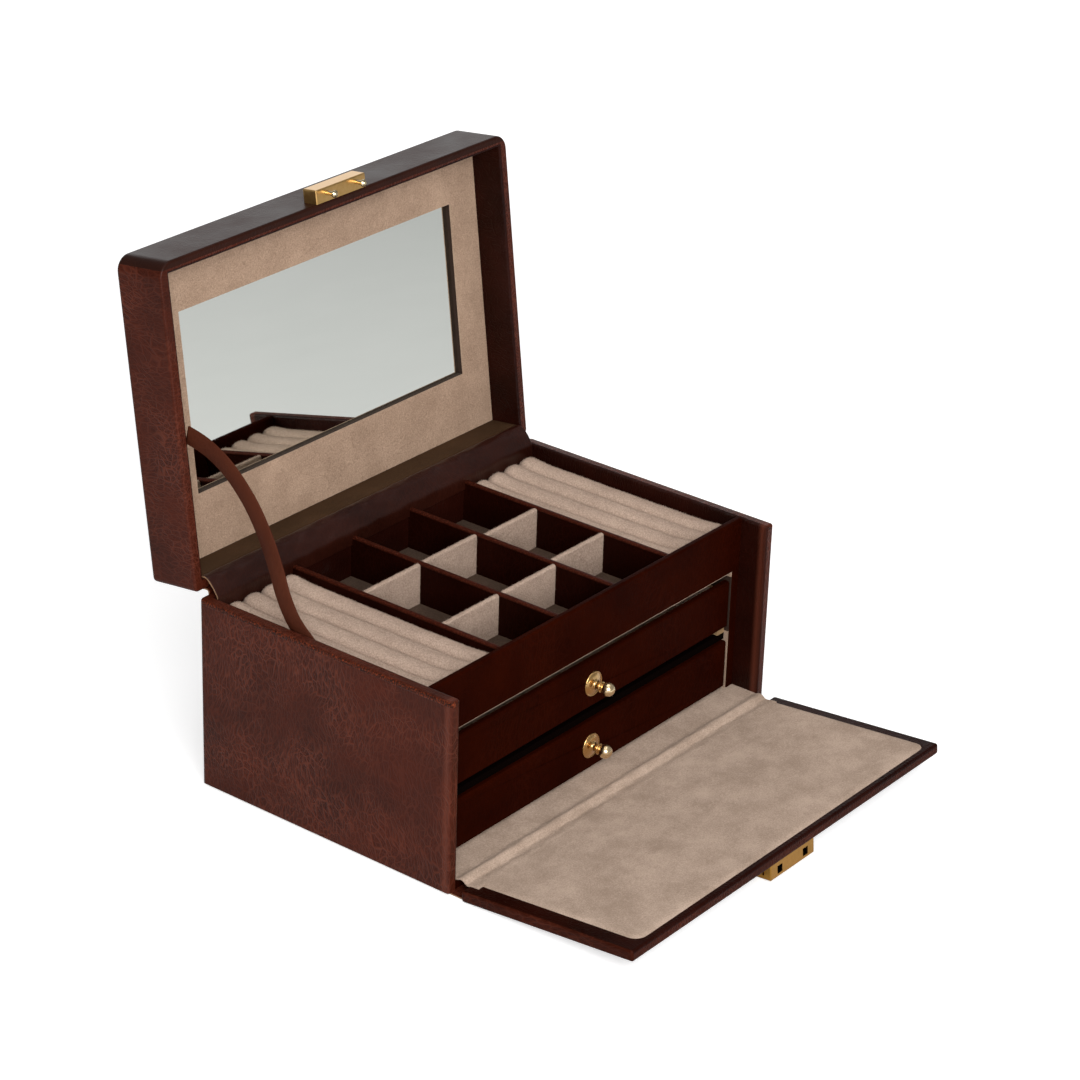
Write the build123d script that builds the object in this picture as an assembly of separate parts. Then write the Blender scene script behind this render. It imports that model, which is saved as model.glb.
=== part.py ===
"""Leather jewellery box with a mirrored lid, a drop-down front flap, a tray and two drawers.

Millimetres, +Z up. The origin is the centre of the case's underside. X runs across the width,
and the front looks towards -Y. The box is shown as it stands open: the lid back on its strap,
the flap down on its lock case, and both drawers in.
"""

from build123d import *
from math import asin, atan2, cos, degrees, pi, radians, sin, tan
import os

# Case
case_width = 260.0
case_depth = 162.0
board_thickness = 4.0
leather_thickness = 1.0
back_corner_radius = 2.5
rim_radius = 1.4
underside_inset = 2.0
base_thickness = 5.0
floor_lining_thickness = 1.2
lining_thickness = 0.7
cut_past = 1.0
tolerance = 0.01

# Front bay with its two drawers
knob_front_gap = 2.75
bay_board_thickness = 5.5
front_thickness = 4.0
tray_panel_height = 29.0
tray_floor_thickness = 3.0
shelf_thickness = 3.0
shelf_setback = 3.0
runner_width = 5.8
runner_height = 4.3
drawer_side_gap = 0.8
drawer_rear_gap = 6.0
drawer_seat_gap = 0.3
lower_seat_gap = 0.4
lower_front_lift = 0.9
upper_front_height = 26.6
lower_front_height = 27.2
upper_top_gap = 4.6
lower_top_gap = 0.3
upper_wall_drop = 6.1
lower_wall_drop = 7.6
drawer_box_inset = 0.4
drawer_wall_thickness = 3.0
drawer_bottom_thickness = 2.5
drawer_lining_thickness = 0.8
drawer_edge_radius = 1.6

# Knobs
knob_plate_radius = 6.75
knob_plate_thickness = 1.6
knob_plate_edge = 0.35
knob_plate_dome = ((6.0, 0.85), (4.6, 1.3))
knob_stem_radius = 1.7
knob_stem_flare = 0.8
knob_collar_radius = 2.8
knob_collar_thickness = 1.2
knob_collar_bevel = 0.3
knob_collar_gap = 0.4
knob_ball_radius = 3.75
knob_ball_reach = 9.5
knob_ball_cuts = 10
knob_shank_radius = 1.2
knob_rivet_radius = 2.6
knob_rivet_thickness = 0.7
knob_hole_clearance = 0.1

# Tray of cells and ring rolls
partition_pitch = 45.2
partition_thickness = 3.0
partition_drop = 2.4
partition_edge_radius = 1.2
divider_thickness = 2.6
divider_drop = 3.2
divider_edge_radius = 1.17
divider_places = ((59.5, 110.7), (59.3, 111.0), (63.5, 107.5))
rolls_per_bay = 4
roll_drop = 3.6
roll_gap = 0.15
roll_end_gap = 0.4
strap_roll_gap = 0.4

# Lid
lid_height = 30.4
lid_gap = 1.2
lid_open_angle = 97.0
hinge_behind_back = 1.28
hinge_above_rim = 0.7
lid_corner_radius = 8.0
lid_top_radius = 2.5
velour_panel_thickness = 3.0
panel_side_gap = 0.3
mirror_side_margin = 21.5
mirror_front_margin = 28.0
mirror_hinge_margin = 33.4
mirror_lap = 5.0
mirror_thickness = 2.0
backing_card_thickness = 1.3

# Front flap
flap_thickness = 5.9
flap_lid_gap = 0.9
flap_wall_gap = 0.3
flap_closed_bottom = 3.0
flap_open_reach = 8.0
flap_floor_gap = 0.2
flap_edge_radius = 1.4
pad_thickness = 0.9
pad_left_margin = 9.5
pad_right_margin = 6.6
pad_free_margin = 3.5
pad_near_margin = 4.8
pad_corner_radius = 6.0
pad_bevel = 0.5
pad_lap = 1.5

# Lock on the flap, and the catch with its two prongs on the lid
lock_width = 37.0
lock_proud = 8.2
lock_height = 12.0
lock_setback = 0.9
lock_wall = 1.2
lock_edge_radius = 0.7
socket_size = 4.2
socket_spacing = 21.6
socket_offset = 4.3
catch_proud = 7.2
catch_height = 9.0
prong_length = 6.8
prong_radius = 1.2
prong_head_radius = 1.9
prong_head_height = 1.6
prong_point_height = 0.9
prong_point_radius = 0.8
latch_travel = 2.2
latch_bar_thickness = 1.5
latch_bar_half_width = 2.7
latch_clearance = 0.35
neck_clearance = 0.175
latch_button_height = 3.2
latch_button_depth = 2.6
latch_button_proud = 0.8
spring_radius = 1.6
spring_bore_radius = 1.1

# Strap and hinge leathers
strap_width = 10.0
strap_thickness = 1.2
strap_wall_gap = 0.4
strap_route = ((12.5, 81.8), (-16.0, 75.8), (-44.5, 43.8), (-50.0, 17.8), (-67.0, -4.2), (-74.0, -12.2))
strap_bend_radii = (24.0, 36.0, 40.0, 20.0)
hinge_leather_thickness = 0.9
hinge_leather_inset = 1.5
hinge_leather_stand_off = 0.6
hinge_leather_lap = 14.0
hinge_lining_radii = (4.0, 8.0)
hinge_spine_radius = 0.6
hinge_velour_radii = (3.0, 3.0)
hinge_velour_lap = 4.4
hinge_velour_gap = 0.1
hinge_velour_lift = 0.65

# Places worked out from the sizes above
half_width = case_width / 2
front = -case_depth / 2
back = case_depth / 2
wall_thickness = board_thickness + 2 * leather_thickness
inner_half_width = half_width - wall_thickness
inner_back = back - wall_thickness
recess_depth = knob_ball_reach + knob_ball_radius + knob_front_gap
bay_front = front + recess_depth
panel_back = bay_front + front_thickness
bay_half_width = inner_half_width - bay_board_thickness
bay_clear_half_width = bay_half_width - lining_thickness

# The case as a stack, from the underside to the rim
wall_bottom = leather_thickness
base_top = wall_bottom + base_thickness
floor_top = base_top + floor_lining_thickness
lower_drawer_bottom = floor_top + lower_seat_gap
lower_front_bottom = lower_drawer_bottom + lower_front_lift
lower_front_top = lower_front_bottom + lower_front_height
shelf_bottom = lower_front_top + lower_top_gap
shelf_top = shelf_bottom + shelf_thickness
runner_bottom = shelf_top + lining_thickness
runner_top = runner_bottom + runner_height
upper_drawer_bottom = runner_top + drawer_seat_gap
upper_front_top = upper_drawer_bottom + upper_front_height
tray_under = upper_front_top + upper_top_gap + lining_thickness
tray_floor_top = tray_under + tray_floor_thickness
cell_floor_top = tray_floor_top + lining_thickness
rim = tray_under + tray_panel_height

# Drawers and strap
drawer_half_width = bay_clear_half_width - drawer_side_gap
drawer_rear = inner_back - drawer_rear_gap
strap_gap = strap_wall_gap + strap_thickness + strap_roll_gap

# Lid and flap, closed
lid_overhang = flap_thickness + flap_wall_gap
lid_front = front - lid_overhang
lid_rim = rim + lid_gap
lid_top = lid_rim + lid_height
lid_inner_front = lid_front + wall_thickness
lid_top_under = lid_top - leather_thickness - board_thickness
glass_back = lid_top_under - backing_card_thickness
glass_front = glass_back - mirror_thickness
velour_panel_front = glass_front - velour_panel_thickness
hinge_y = back + hinge_behind_back
hinge_z = rim + hinge_above_rim

flap_outer = lid_front
flap_inner = flap_outer + flap_thickness
flap_top = lid_rim - flap_lid_gap
lock_top = flap_top - lock_setback
lock_bottom = lock_top - lock_height
lock_front = flap_outer - lock_proud
socket_y = flap_outer - socket_offset


def flap_tilt():
    """The angle at which the open flap lies, with its near edge and its lock case on the ground."""
    return degrees(atan2(lock_proud, lock_bottom - flap_closed_bottom))


flap_swing = 90.0 - flap_tilt()


def flap_pivot():
    """The line that carries the flap's near outer edge from its open place to its closed place."""
    open_y = front - flap_open_reach
    open_z = flap_floor_gap
    closed_y = flap_outer
    closed_z = flap_closed_bottom
    half_turn = radians(flap_swing) / 2
    half_y = (closed_y - open_y) / 2
    half_z = (closed_z - open_z) / 2
    middle_y = (closed_y + open_y) / 2
    middle_z = (closed_z + open_z) / 2
    return middle_y + half_z / tan(half_turn), middle_z - half_y / tan(half_turn)


pivot_y, pivot_z = flap_pivot()


def slab(x_range, y_range, z_range):
    """A plain block between two places on each axis."""
    size = [high - low for low, high in (x_range, y_range, z_range)]
    centre = [(high + low) / 2 for low, high in (x_range, y_range, z_range)]
    return Pos(*centre) * Box(*size)


def near(value, place):
    """Whether a coordinate lies on a face's place."""
    return abs(value - place) < tolerance


def rounded(shape, radius, test):
    """The shape with the edges that pass the test rounded."""
    return fillet([edge for edge in shape.edges() if test(edge)], radius)


def upright(edge):
    """Whether an edge runs along Z."""
    box = edge.bounding_box().size
    return box.Z > tolerance and box.X < tolerance and box.Y < tolerance


def opened_lid(shape):
    """A piece of the closed lid, swung back to the open place."""
    return shape.rotate(Axis((0, hinge_y, hinge_z), (1, 0, 0)), -lid_open_angle)


def opened_flap(shape):
    """A piece of the closed flap, swung down to the open place."""
    return shape.rotate(Axis((0, pivot_y, pivot_z), (1, 0, 0)), flap_swing)


def ribbon(points, radii, width, x_range):
    """A strip whose section in the YZ plane follows a bent line of (y, z) points with a set width."""
    path = FilletPolyline(*[(0, y, z) for y, z in points], radius=radii)
    length = x_range[1] - x_range[0]
    pieces = [extrude(Face(trace_outline(edge, width)), length, dir=(1, 0, 0)) for edge in path.edges()]
    return Pos(x_range[0], 0, 0) * pieces[0].fuse(*pieces[1:])


def trace_outline(edge, thickness):
    """The closed outline that lies half a thickness to each side of a line or arc in the YZ plane."""
    half = thickness / 2
    normal = Vector(1, 0, 0)
    sides = []
    for side in (half, -half):
        ends = []
        for place in (0, 0.5, 1):
            across = normal.cross(edge.tangent_at(place)).normalized()
            ends.append(edge.position_at(place) + across * side)
        sides.append(ends)
    left, right = sides
    if edge.geom_type == GeomType.LINE:
        return Wire.make_polygon([left[0], left[2], right[2], right[0]])
    first = ThreePointArc(left[0], left[1], left[2])
    second = ThreePointArc(right[2], right[1], right[0])
    return Wire([first.edge(), Line(left[2], right[2]).edge(), second.edge(), Line(right[0], left[0]).edge()])


def case_boards():
    """The carcass: a base, two sides and a back between the sides."""
    side_front = front + leather_thickness
    side_back = back - leather_thickness
    board_out = half_width - leather_thickness
    board_in = board_out - board_thickness
    board_top = rim - leather_thickness
    heights = (wall_bottom, board_top)
    return {
        "left_side_board": slab((-board_out, -board_in), (side_front, side_back), heights),
        "right_side_board": slab((board_in, board_out), (side_front, side_back), heights),
        "back_board": slab((-board_in, board_in), (side_back - board_thickness, side_back), heights),
        "base_board": slab(
            (-inner_half_width, inner_half_width),
            (front + leather_thickness, inner_back),
            (wall_bottom, base_top),
        ),
    }


def case_leather_cover(boards):
    """One sheet of leather round three sides, turned over the rim and the front edges."""
    shell = slab((-half_width, half_width), (front, back), (wall_bottom, rim))
    shell = rounded(
        shell,
        back_corner_radius,
        lambda edge: upright(edge) and near(edge.center().Y, back),
    )
    shell -= slab((-inner_half_width, inner_half_width), (front - cut_past, inner_back), (0, rim + cut_past))
    shell = rounded(
        shell,
        rim_radius,
        lambda edge: near(edge.center().Z, rim) or (upright(edge) and near(edge.center().Y, front)),
    )
    for name in ("left_side_board", "right_side_board", "back_board"):
        shell -= boards[name]
    return shell


def underside_leather():
    """The leather under the base that the box stands on."""
    sheet = slab(
        (underside_inset - half_width, half_width - underside_inset),
        (front + underside_inset, back - underside_inset),
        (0, leather_thickness),
    )
    return rounded(sheet, back_corner_radius, upright)


def floor_lining():
    """Velour on the base: full width in the recess, and between the bay boards behind it."""
    heights = (base_top, floor_top)
    wide = slab((-inner_half_width, inner_half_width), (front + leather_thickness, bay_front), heights)
    return wide + slab((-bay_half_width, bay_half_width), (bay_front, inner_back), heights)


def bay_pieces():
    """The two uprights beside the drawers, their linings, the shelf and the runners on it."""
    depth = (bay_front, inner_back)
    board_heights = (base_top, tray_under)
    lining_heights = (floor_top, tray_under - lining_thickness)
    lining_depth = (bay_front + leather_thickness / 2, inner_back)
    shelf_depth = (bay_front + shelf_setback, inner_back)
    runner_depth = (bay_front + shelf_setback, drawer_rear)
    clear = bay_clear_half_width
    linings = [
        slab((clear, bay_half_width), lining_depth, lining_heights),
        slab((-bay_half_width, -clear), lining_depth, lining_heights),
    ]
    runners = [
        slab((clear - runner_width, clear), runner_depth, (runner_bottom, runner_top)),
        slab((-clear, runner_width - clear), runner_depth, (runner_bottom, runner_top)),
    ]
    left = slab((-inner_half_width, -bay_half_width), depth, board_heights)
    right = slab((bay_half_width, inner_half_width), depth, board_heights)

    def front_edge(edge):
        return upright(edge) and near(edge.center().Y, bay_front)

    return {
        "left_bay_board": rounded(left, leather_thickness / 2, front_edge),
        "right_bay_board": rounded(right, leather_thickness / 2, front_edge),
        "bay_side_linings": Compound(children=linings),
        "shelf_board": slab((-clear, clear), shelf_depth, (shelf_bottom, shelf_top)),
        "shelf_lining": slab((-clear, clear), shelf_depth, (shelf_top, runner_bottom)),
        "drawer_runners": Compound(children=runners),
    }


def tray_structure():
    """The tray's front panel, its floor board and the velour under it."""
    panel = slab((-inner_half_width, inner_half_width), (bay_front, panel_back), (tray_under, rim))
    panel = rounded(
        panel,
        rim_radius,
        lambda edge: near(edge.center().Z, rim) and near(edge.center().X, 0),
    )
    return {
        "tray_front_panel": panel,
        "tray_floor_board": slab(
            (-inner_half_width, inner_half_width),
            (panel_back, inner_back),
            (tray_under, tray_floor_top),
        ),
        "tray_underside_lining": slab(
            (-bay_half_width, bay_half_width),
            (bay_front + leather_thickness / 2, inner_back),
            (tray_under - lining_thickness, tray_under),
        ),
    }


def partition_centres():
    """Where the four partitions stand across the tray."""
    return [partition_pitch * (number - 1.5) for number in range(4)]


def tray_partitions():
    """Four leather-covered partitions from the front panel to the back wall."""
    pieces = {}
    for number, centre in enumerate(partition_centres(), start=1):
        half = partition_thickness / 2
        top = rim - partition_drop
        board = slab((centre - half, centre + half), (panel_back, inner_back), (tray_floor_top, top))
        pieces[f"partition_{number}"] = rounded(
            board,
            partition_edge_radius,
            lambda edge: near(edge.center().Z, top) and not near(edge.center().X, centre),
        )
    return pieces


def cell_columns():
    """The clear width of each column of cells."""
    half = partition_thickness / 2
    centres = partition_centres()
    return [(low + half, high - half) for low, high in zip(centres[:-1], centres[1:])]


def cell_pieces():
    """The velour floors of the cells, and two velour dividers in each column."""
    floors = []
    pieces = {}
    half = divider_thickness / 2
    top = rim - divider_drop
    for number, (column, places) in enumerate(zip(cell_columns(), divider_places), start=1):
        floors.append(slab(column, (panel_back, inner_back), (tray_floor_top, cell_floor_top)))
        dividers = []
        for place in places:
            y = front + place
            wall = slab(column, (y - half, y + half), (cell_floor_top, top))
            dividers.append(
                rounded(
                    wall,
                    divider_edge_radius,
                    lambda edge: near(edge.center().Z, top) and not near(edge.center().Y, y),
                )
            )
        pieces[f"column_{number}_dividers"] = Compound(children=dividers)
    pieces["cell_floor_linings"] = Compound(children=floors)
    return pieces


def ring_roll(low, high):
    """One velour-covered foam roll: upright sides under a full round top."""
    radius = (high - low) / 2
    middle = (high + low) / 2
    top = rim - roll_drop
    start = panel_back + roll_end_gap
    end = inner_back - roll_end_gap
    body = slab((low, high), (start, end), (tray_floor_top, top - radius))
    crown = Pos(middle, (start + end) / 2, top - radius) * Rot(90, 0, 0) * Cylinder(radius, end - start)
    return body + crown


def ring_rolls():
    """Four rolls in each outer bay, pressed side by side so that rings sit between them."""
    bay_in = partition_centres()[-1] + partition_thickness / 2
    bay_out = inner_half_width - strap_gap
    pitch = (bay_out - bay_in) / rolls_per_bay
    right = []
    left = []
    for number in range(rolls_per_bay):
        low = bay_in + number * pitch + roll_gap
        high = low + pitch - 2 * roll_gap
        right.append(ring_roll(low, high))
        left.append(ring_roll(-high, -low))
    return {"left_ring_rolls": Compound(children=left), "right_ring_rolls": Compound(children=right)}


def lid_core():
    """The space that the lid's boards fill: the lid less its leather, with rounded corners."""
    core = slab(
        (leather_thickness - half_width, half_width - leather_thickness),
        (lid_front + leather_thickness, back - leather_thickness),
        (lid_rim + leather_thickness, lid_top - leather_thickness),
    )
    core = rounded(
        core,
        lid_corner_radius - leather_thickness,
        lambda edge: upright(edge) and edge.center().Y < 0,
    )
    return rounded(
        core,
        back_corner_radius - leather_thickness,
        lambda edge: upright(edge) and edge.center().Y > 0,
    )


def lid_boards():
    """The lid's top and its four walls, closed."""
    out = half_width
    board_in = half_width - leather_thickness - board_thickness
    front_in = lid_front + leather_thickness + board_thickness
    back_in = back - leather_thickness - board_thickness
    heights = (lid_rim, lid_top_under)
    depth = (lid_front, back)
    core = lid_core()
    return {
        "lid_top_board": core & slab((-out, out), depth, (lid_top_under, lid_top)),
        "lid_left_board": core & slab((-out, -board_in), depth, heights),
        "lid_right_board": core & slab((board_in, out), depth, heights),
        "lid_front_board": core & slab((-board_in, board_in), (lid_front, front_in), heights),
        "lid_back_board": core & slab((-board_in, board_in), (back_in, back), heights),
    }


def lid_leather_cover(boards):
    """Leather over the whole lid, turned in round the rim as far as the velour panel."""
    shell = slab((-half_width, half_width), (lid_front, back), (lid_rim, lid_top))
    shell = rounded(shell, lid_corner_radius, lambda edge: upright(edge) and edge.center().Y < 0)
    shell = rounded(
        shell,
        back_corner_radius,
        lambda edge: upright(edge) and edge.center().Y > 0 and near(edge.center().Y, back),
    )
    shell = rounded(shell, lid_top_radius, lambda edge: near(edge.center().Z, lid_top))
    turn_in = velour_panel_front + leather_thickness
    depth = (lid_inner_front, inner_back)
    shell -= slab((-inner_half_width, inner_half_width), depth, (lid_rim - cut_past, turn_in))
    shell = rounded(
        shell,
        rim_radius,
        lambda edge: near(edge.center().Z, lid_rim),
    )
    behind = inner_half_width + leather_thickness
    shell -= slab(
        (-behind, behind),
        (lid_inner_front - leather_thickness, inner_back + leather_thickness),
        (turn_in, lid_top_under),
    )
    for board in boards.values():
        shell -= board
    return shell


def mirror_pieces():
    """The velour panel with its window, the glass behind it, its packing frame and backing card."""
    gap = panel_side_gap
    across = (gap - inner_half_width, inner_half_width - gap)
    depth = (lid_inner_front + gap, inner_back - gap)
    window_half = inner_half_width - mirror_side_margin
    window_y = (lid_inner_front + mirror_front_margin, inner_back - mirror_hinge_margin)
    glass_half = window_half + mirror_lap
    glass_y = (window_y[0] - mirror_lap, window_y[1] + mirror_lap)
    panel = slab(across, depth, (velour_panel_front, glass_front))
    past = (velour_panel_front - cut_past, glass_front + cut_past)
    panel -= slab((-window_half, window_half), window_y, past)
    glass = slab((-glass_half, glass_half), glass_y, (glass_front, glass_back))
    return {
        "mirror_velour_panel": panel,
        "mirror_packing_frame": slab(across, depth, (glass_front, glass_back)) - glass,
        "mirror_glass": glass,
        "mirror_backing_card": slab(across, depth, (glass_back, lid_top_under)),
    }


def catch_block():
    """The brass block on the lid's front that carries the prongs."""
    block = slab(
        (-lock_width / 2, lock_width / 2),
        (lid_front - catch_proud, lid_front),
        (lid_rim, lid_rim + catch_height),
    )
    return rounded(block, lock_edge_radius, lambda edge: not near(edge.center().Y, lid_front))


def prong(x):
    """A round prong under the catch block, with a pointed head that the latch bar holds."""
    tip = lid_rim - prong_length
    head_top = tip + prong_head_height
    shoulder = tip + prong_point_height
    outline = make_face(
        Polyline(
            (0, lid_rim),
            (prong_radius, lid_rim),
            (prong_radius, head_top),
            (prong_head_radius, head_top),
            (prong_head_radius, shoulder),
            (prong_point_radius, tip),
            (0, tip),
            close=True,
        ).edges()
    )
    return Pos(x, socket_y, 0) * revolve(Plane.XZ * outline, Axis.Z)


def prong_places():
    """Where the prongs and their sockets stand across the lock."""
    return (-socket_spacing / 2, socket_spacing / 2)


def flap_board():
    """The stiff board inside the flap, closed."""
    return slab(
        (leather_thickness - half_width, half_width - leather_thickness),
        (flap_outer + leather_thickness, flap_inner - leather_thickness),
        (flap_closed_bottom + leather_thickness, flap_top - leather_thickness),
    )


def pad_outline(margin):
    """The pad's place on the flap: its X range and Z range, drawn in by a margin."""
    x_range = (pad_left_margin - half_width + margin, half_width - pad_right_margin - margin)
    z_range = (flap_closed_bottom + pad_near_margin + margin, flap_top - pad_free_margin - margin)
    return x_range, z_range


def flap_leather_cover():
    """Leather over the flap's outside and edges, turned in under the velour pad."""
    shell = slab((-half_width, half_width), (flap_outer, flap_inner), (flap_closed_bottom, flap_top))
    shell = rounded(shell, flap_edge_radius, lambda edge: True)
    shell -= flap_board()
    x_range, z_range = pad_outline(pad_lap)
    return shell - slab(x_range, (flap_inner - leather_thickness, flap_inner + cut_past), z_range)


def flap_velour_pad():
    """The thin velour pad on the flap's inner face, let into the leather's turn-in."""
    x_range, z_range = pad_outline(0)
    pad = slab(x_range, (flap_inner, flap_inner + pad_thickness), z_range)
    pad = rounded(pad, pad_corner_radius, lambda edge: near(edge.bounding_box().size.Y, pad_thickness))
    face_edges = [edge for edge in pad.edges() if near(edge.center().Y, flap_inner + pad_thickness)]
    pad = chamfer(face_edges, pad_bevel)
    core_x, core_z = pad_outline(pad_lap)
    return pad + slab(core_x, (flap_inner - leather_thickness, flap_inner), core_z)


def lock_case():
    """The brass lock case on the flap: hollow, with two sockets on top and a slot for its button."""
    half = lock_width / 2
    case = slab((-half, half), (lock_front, flap_outer), (lock_bottom, lock_top))
    case = rounded(case, lock_edge_radius, lambda edge: not near(edge.center().Y, flap_outer))
    case -= slab(
        (lock_wall - half, half - lock_wall),
        (lock_front + lock_wall, flap_outer + cut_past),
        (lock_bottom + lock_wall, lock_top - lock_wall),
    )
    half_socket = socket_size / 2
    for x in prong_places():
        case -= slab(
            (x - half_socket, x + half_socket),
            (socket_y - half_socket, socket_y + half_socket),
            (lock_top - lock_wall - cut_past, lock_top + cut_past),
        )
    slot_x = (-half - cut_past, lock_wall - half + cut_past)
    return case - slab(slot_x, *button_section(latch_clearance))


def button_section(clearance):
    """The button's Y range and Z range in the lock case's left end, opened by a clearance."""
    half_depth = latch_button_depth / 2 + clearance
    half_height = latch_button_height / 2 + clearance
    middle = (lock_bottom + lock_top) / 2
    return (socket_y - half_depth, socket_y + half_depth), (middle - half_height, middle + half_height)


def latch_bar():
    """The bar that holds the prongs' heads by two keyholes, and carries the release button."""
    top = lock_top - lock_wall - latch_clearance
    bottom = top - latch_bar_thickness
    left = lock_wall + latch_clearance - lock_width / 2
    right = lock_width / 2 - lock_wall - 2 * latch_travel
    depth = (socket_y - latch_bar_half_width, socket_y + latch_bar_half_width)
    bar = slab((left, right), depth, (bottom, top))
    neck = prong_radius + neck_clearance
    wide = prong_head_radius + neck_clearance
    middle = (top + bottom) / 2
    past = latch_bar_thickness + 2 * cut_past
    for x in prong_places():
        bar -= Pos(x - latch_travel, socket_y, middle) * Cylinder(wide, past)
        bar -= Pos(x - latch_travel / 2, socket_y, middle) * Box(latch_travel, 2 * neck, past)
        bar -= Pos(x, socket_y, middle) * Cylinder(neck, past)
    button_y, button_z = button_section(0)
    leg = slab((left, left + latch_bar_thickness), button_y, (button_z[0], top))
    button = slab((-lock_width / 2 - latch_button_proud, left), button_y, button_z)
    return bar + leg + button


def latch_spring():
    """The short compression spring between the latch bar and the lock case's right end."""
    start = lock_width / 2 - lock_wall - 2 * latch_travel + neck_clearance
    end = lock_width / 2 - lock_wall - neck_clearance
    z = lock_top - lock_wall - latch_clearance - latch_bar_thickness - spring_radius / 2
    tube = Cylinder(spring_radius, end - start) - Cylinder(spring_bore_radius, end - start)
    return Pos((start + end) / 2, socket_y, z) * Rot(0, 90, 0) * tube


def knob(face_y, z):
    """A turned brass knob: domed plate, stem, collar and ball, riveted behind the drawer front."""
    plate = knob_plate_thickness
    inside = -front_thickness
    rivet = inside - knob_rivet_thickness
    stem = knob_stem_radius
    foot = stem + knob_stem_flare
    neck = knob_ball_reach - (knob_ball_radius**2 - stem**2) ** 0.5
    collar_top = neck - knob_collar_gap
    collar = collar_top - knob_collar_thickness
    bevel = knob_collar_bevel
    tip = knob_ball_reach + knob_ball_radius
    first = asin(stem / knob_ball_radius)
    turns = [first + (pi - first) * cut / knob_ball_cuts for cut in range(knob_ball_cuts)]
    ball = [(knob_ball_radius * sin(a), knob_ball_reach - knob_ball_radius * cos(a)) for a in turns]
    outline = make_face(
        Polyline(
            (0, tip),
            (0, rivet),
            (knob_rivet_radius, rivet),
            (knob_rivet_radius, inside),
            (knob_shank_radius, inside),
            (knob_shank_radius, 0),
            (knob_plate_radius, 0),
            (knob_plate_radius, knob_plate_edge),
            *knob_plate_dome,
            (foot, plate),
            (stem, plate + knob_stem_flare),
            (stem, collar),
            (knob_collar_radius, collar + bevel),
            (knob_collar_radius, collar_top - bevel),
            (stem, collar_top),
            *ball,
            (0, tip),
        )
    )
    turned = revolve(outline, Axis.Y)
    return Pos(0, face_y, z) * Rot(0, 0, 180) * turned


def drawer(name, bottom, front_heights, wall_drop):
    """One drawer: a leather-covered front on a thin box, its velour lining and its knob."""
    box_half = drawer_half_width - drawer_box_inset
    side_in = box_half - drawer_wall_thickness
    back_in = drawer_rear - drawer_wall_thickness
    walls = (bottom, front_heights[1] - wall_drop)
    floor = (bottom, bottom + drawer_bottom_thickness)
    middle = sum(front_heights) / 2
    board = slab((-drawer_half_width, drawer_half_width), (bay_front, panel_back), front_heights)
    board = rounded(board, drawer_edge_radius, lambda edge: near(edge.center().Y, bay_front))
    hole = Cylinder(knob_shank_radius + knob_hole_clearance, front_thickness + 2 * cut_past)
    board -= Pos(0, bay_front + front_thickness / 2, middle) * Rot(90, 0, 0) * hole
    box_walls = [
        slab((-box_half, -side_in), (panel_back, drawer_rear), walls),
        slab((side_in, box_half), (panel_back, drawer_rear), walls),
        slab((-side_in, side_in), (back_in, drawer_rear), walls),
    ]
    inside = slab((-side_in, side_in), (panel_back + knob_rivet_thickness, back_in), (floor[1], walls[1]))
    skin = drawer_lining_thickness
    hollow = slab(
        (skin - side_in, side_in - skin),
        (panel_back + knob_rivet_thickness + skin, back_in - skin),
        (floor[1] + skin, walls[1] + cut_past),
    )
    return {
        f"{name}_front": board,
        f"{name}_walls": Compound(children=box_walls),
        f"{name}_bottom": slab((-side_in, side_in), (panel_back, back_in), floor),
        f"{name}_lining": inside - hollow,
        f"{name}_knob": knob(bay_front, middle),
    }


def lid_strap():
    """The leather strap that stops the lid, on its edge between the lid's and the case's left walls."""
    low = strap_wall_gap - inner_half_width
    points = [(back + y, rim + z) for y, z in strap_route]
    return ribbon(points, strap_bend_radii, strap_width, (low, low + strap_thickness))


def hinge_leathers():
    """The lining leather inside the lid's hinge and the spine leather outside it."""
    off = hinge_leather_stand_off
    across = (hinge_leather_inset - inner_half_width, inner_half_width - hinge_leather_inset)
    lean = radians(lid_open_angle - 90)
    rim_lift = (lid_gap - hinge_above_rim) * cos(lean)

    def lid_face(closed_y):
        """The open lid's face that stood at closed_y: where it starts, and its height further back."""
        arm = hinge_y - closed_y
        start = hinge_y + arm * sin(lean) + rim_lift
        return start, lambda y: hinge_z + arm * cos(lean) - (y - start) * tan(lean)

    start, height = lid_face(inner_back)
    end = start + hinge_leather_lap
    inner = [
        (inner_back - off, rim - partition_drop + off),
        (inner_back - off, height(start) + off),
        (start, height(start) + off),
        (end, height(end) + off),
    ]
    start, height = lid_face(back)
    end = start + hinge_leather_lap
    outer = [
        (back + off, rim - hinge_leather_lap),
        (back + off, height(back) - off),
        (end, height(end) - off),
    ]
    spine = (lid_corner_radius - half_width, half_width - lid_corner_radius)
    return {
        "hinge_lining_leather": ribbon(inner, hinge_lining_radii, hinge_leather_thickness, across),
        "hinge_spine_leather": ribbon(outer, hinge_spine_radius, hinge_leather_thickness, spine),
    }


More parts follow.
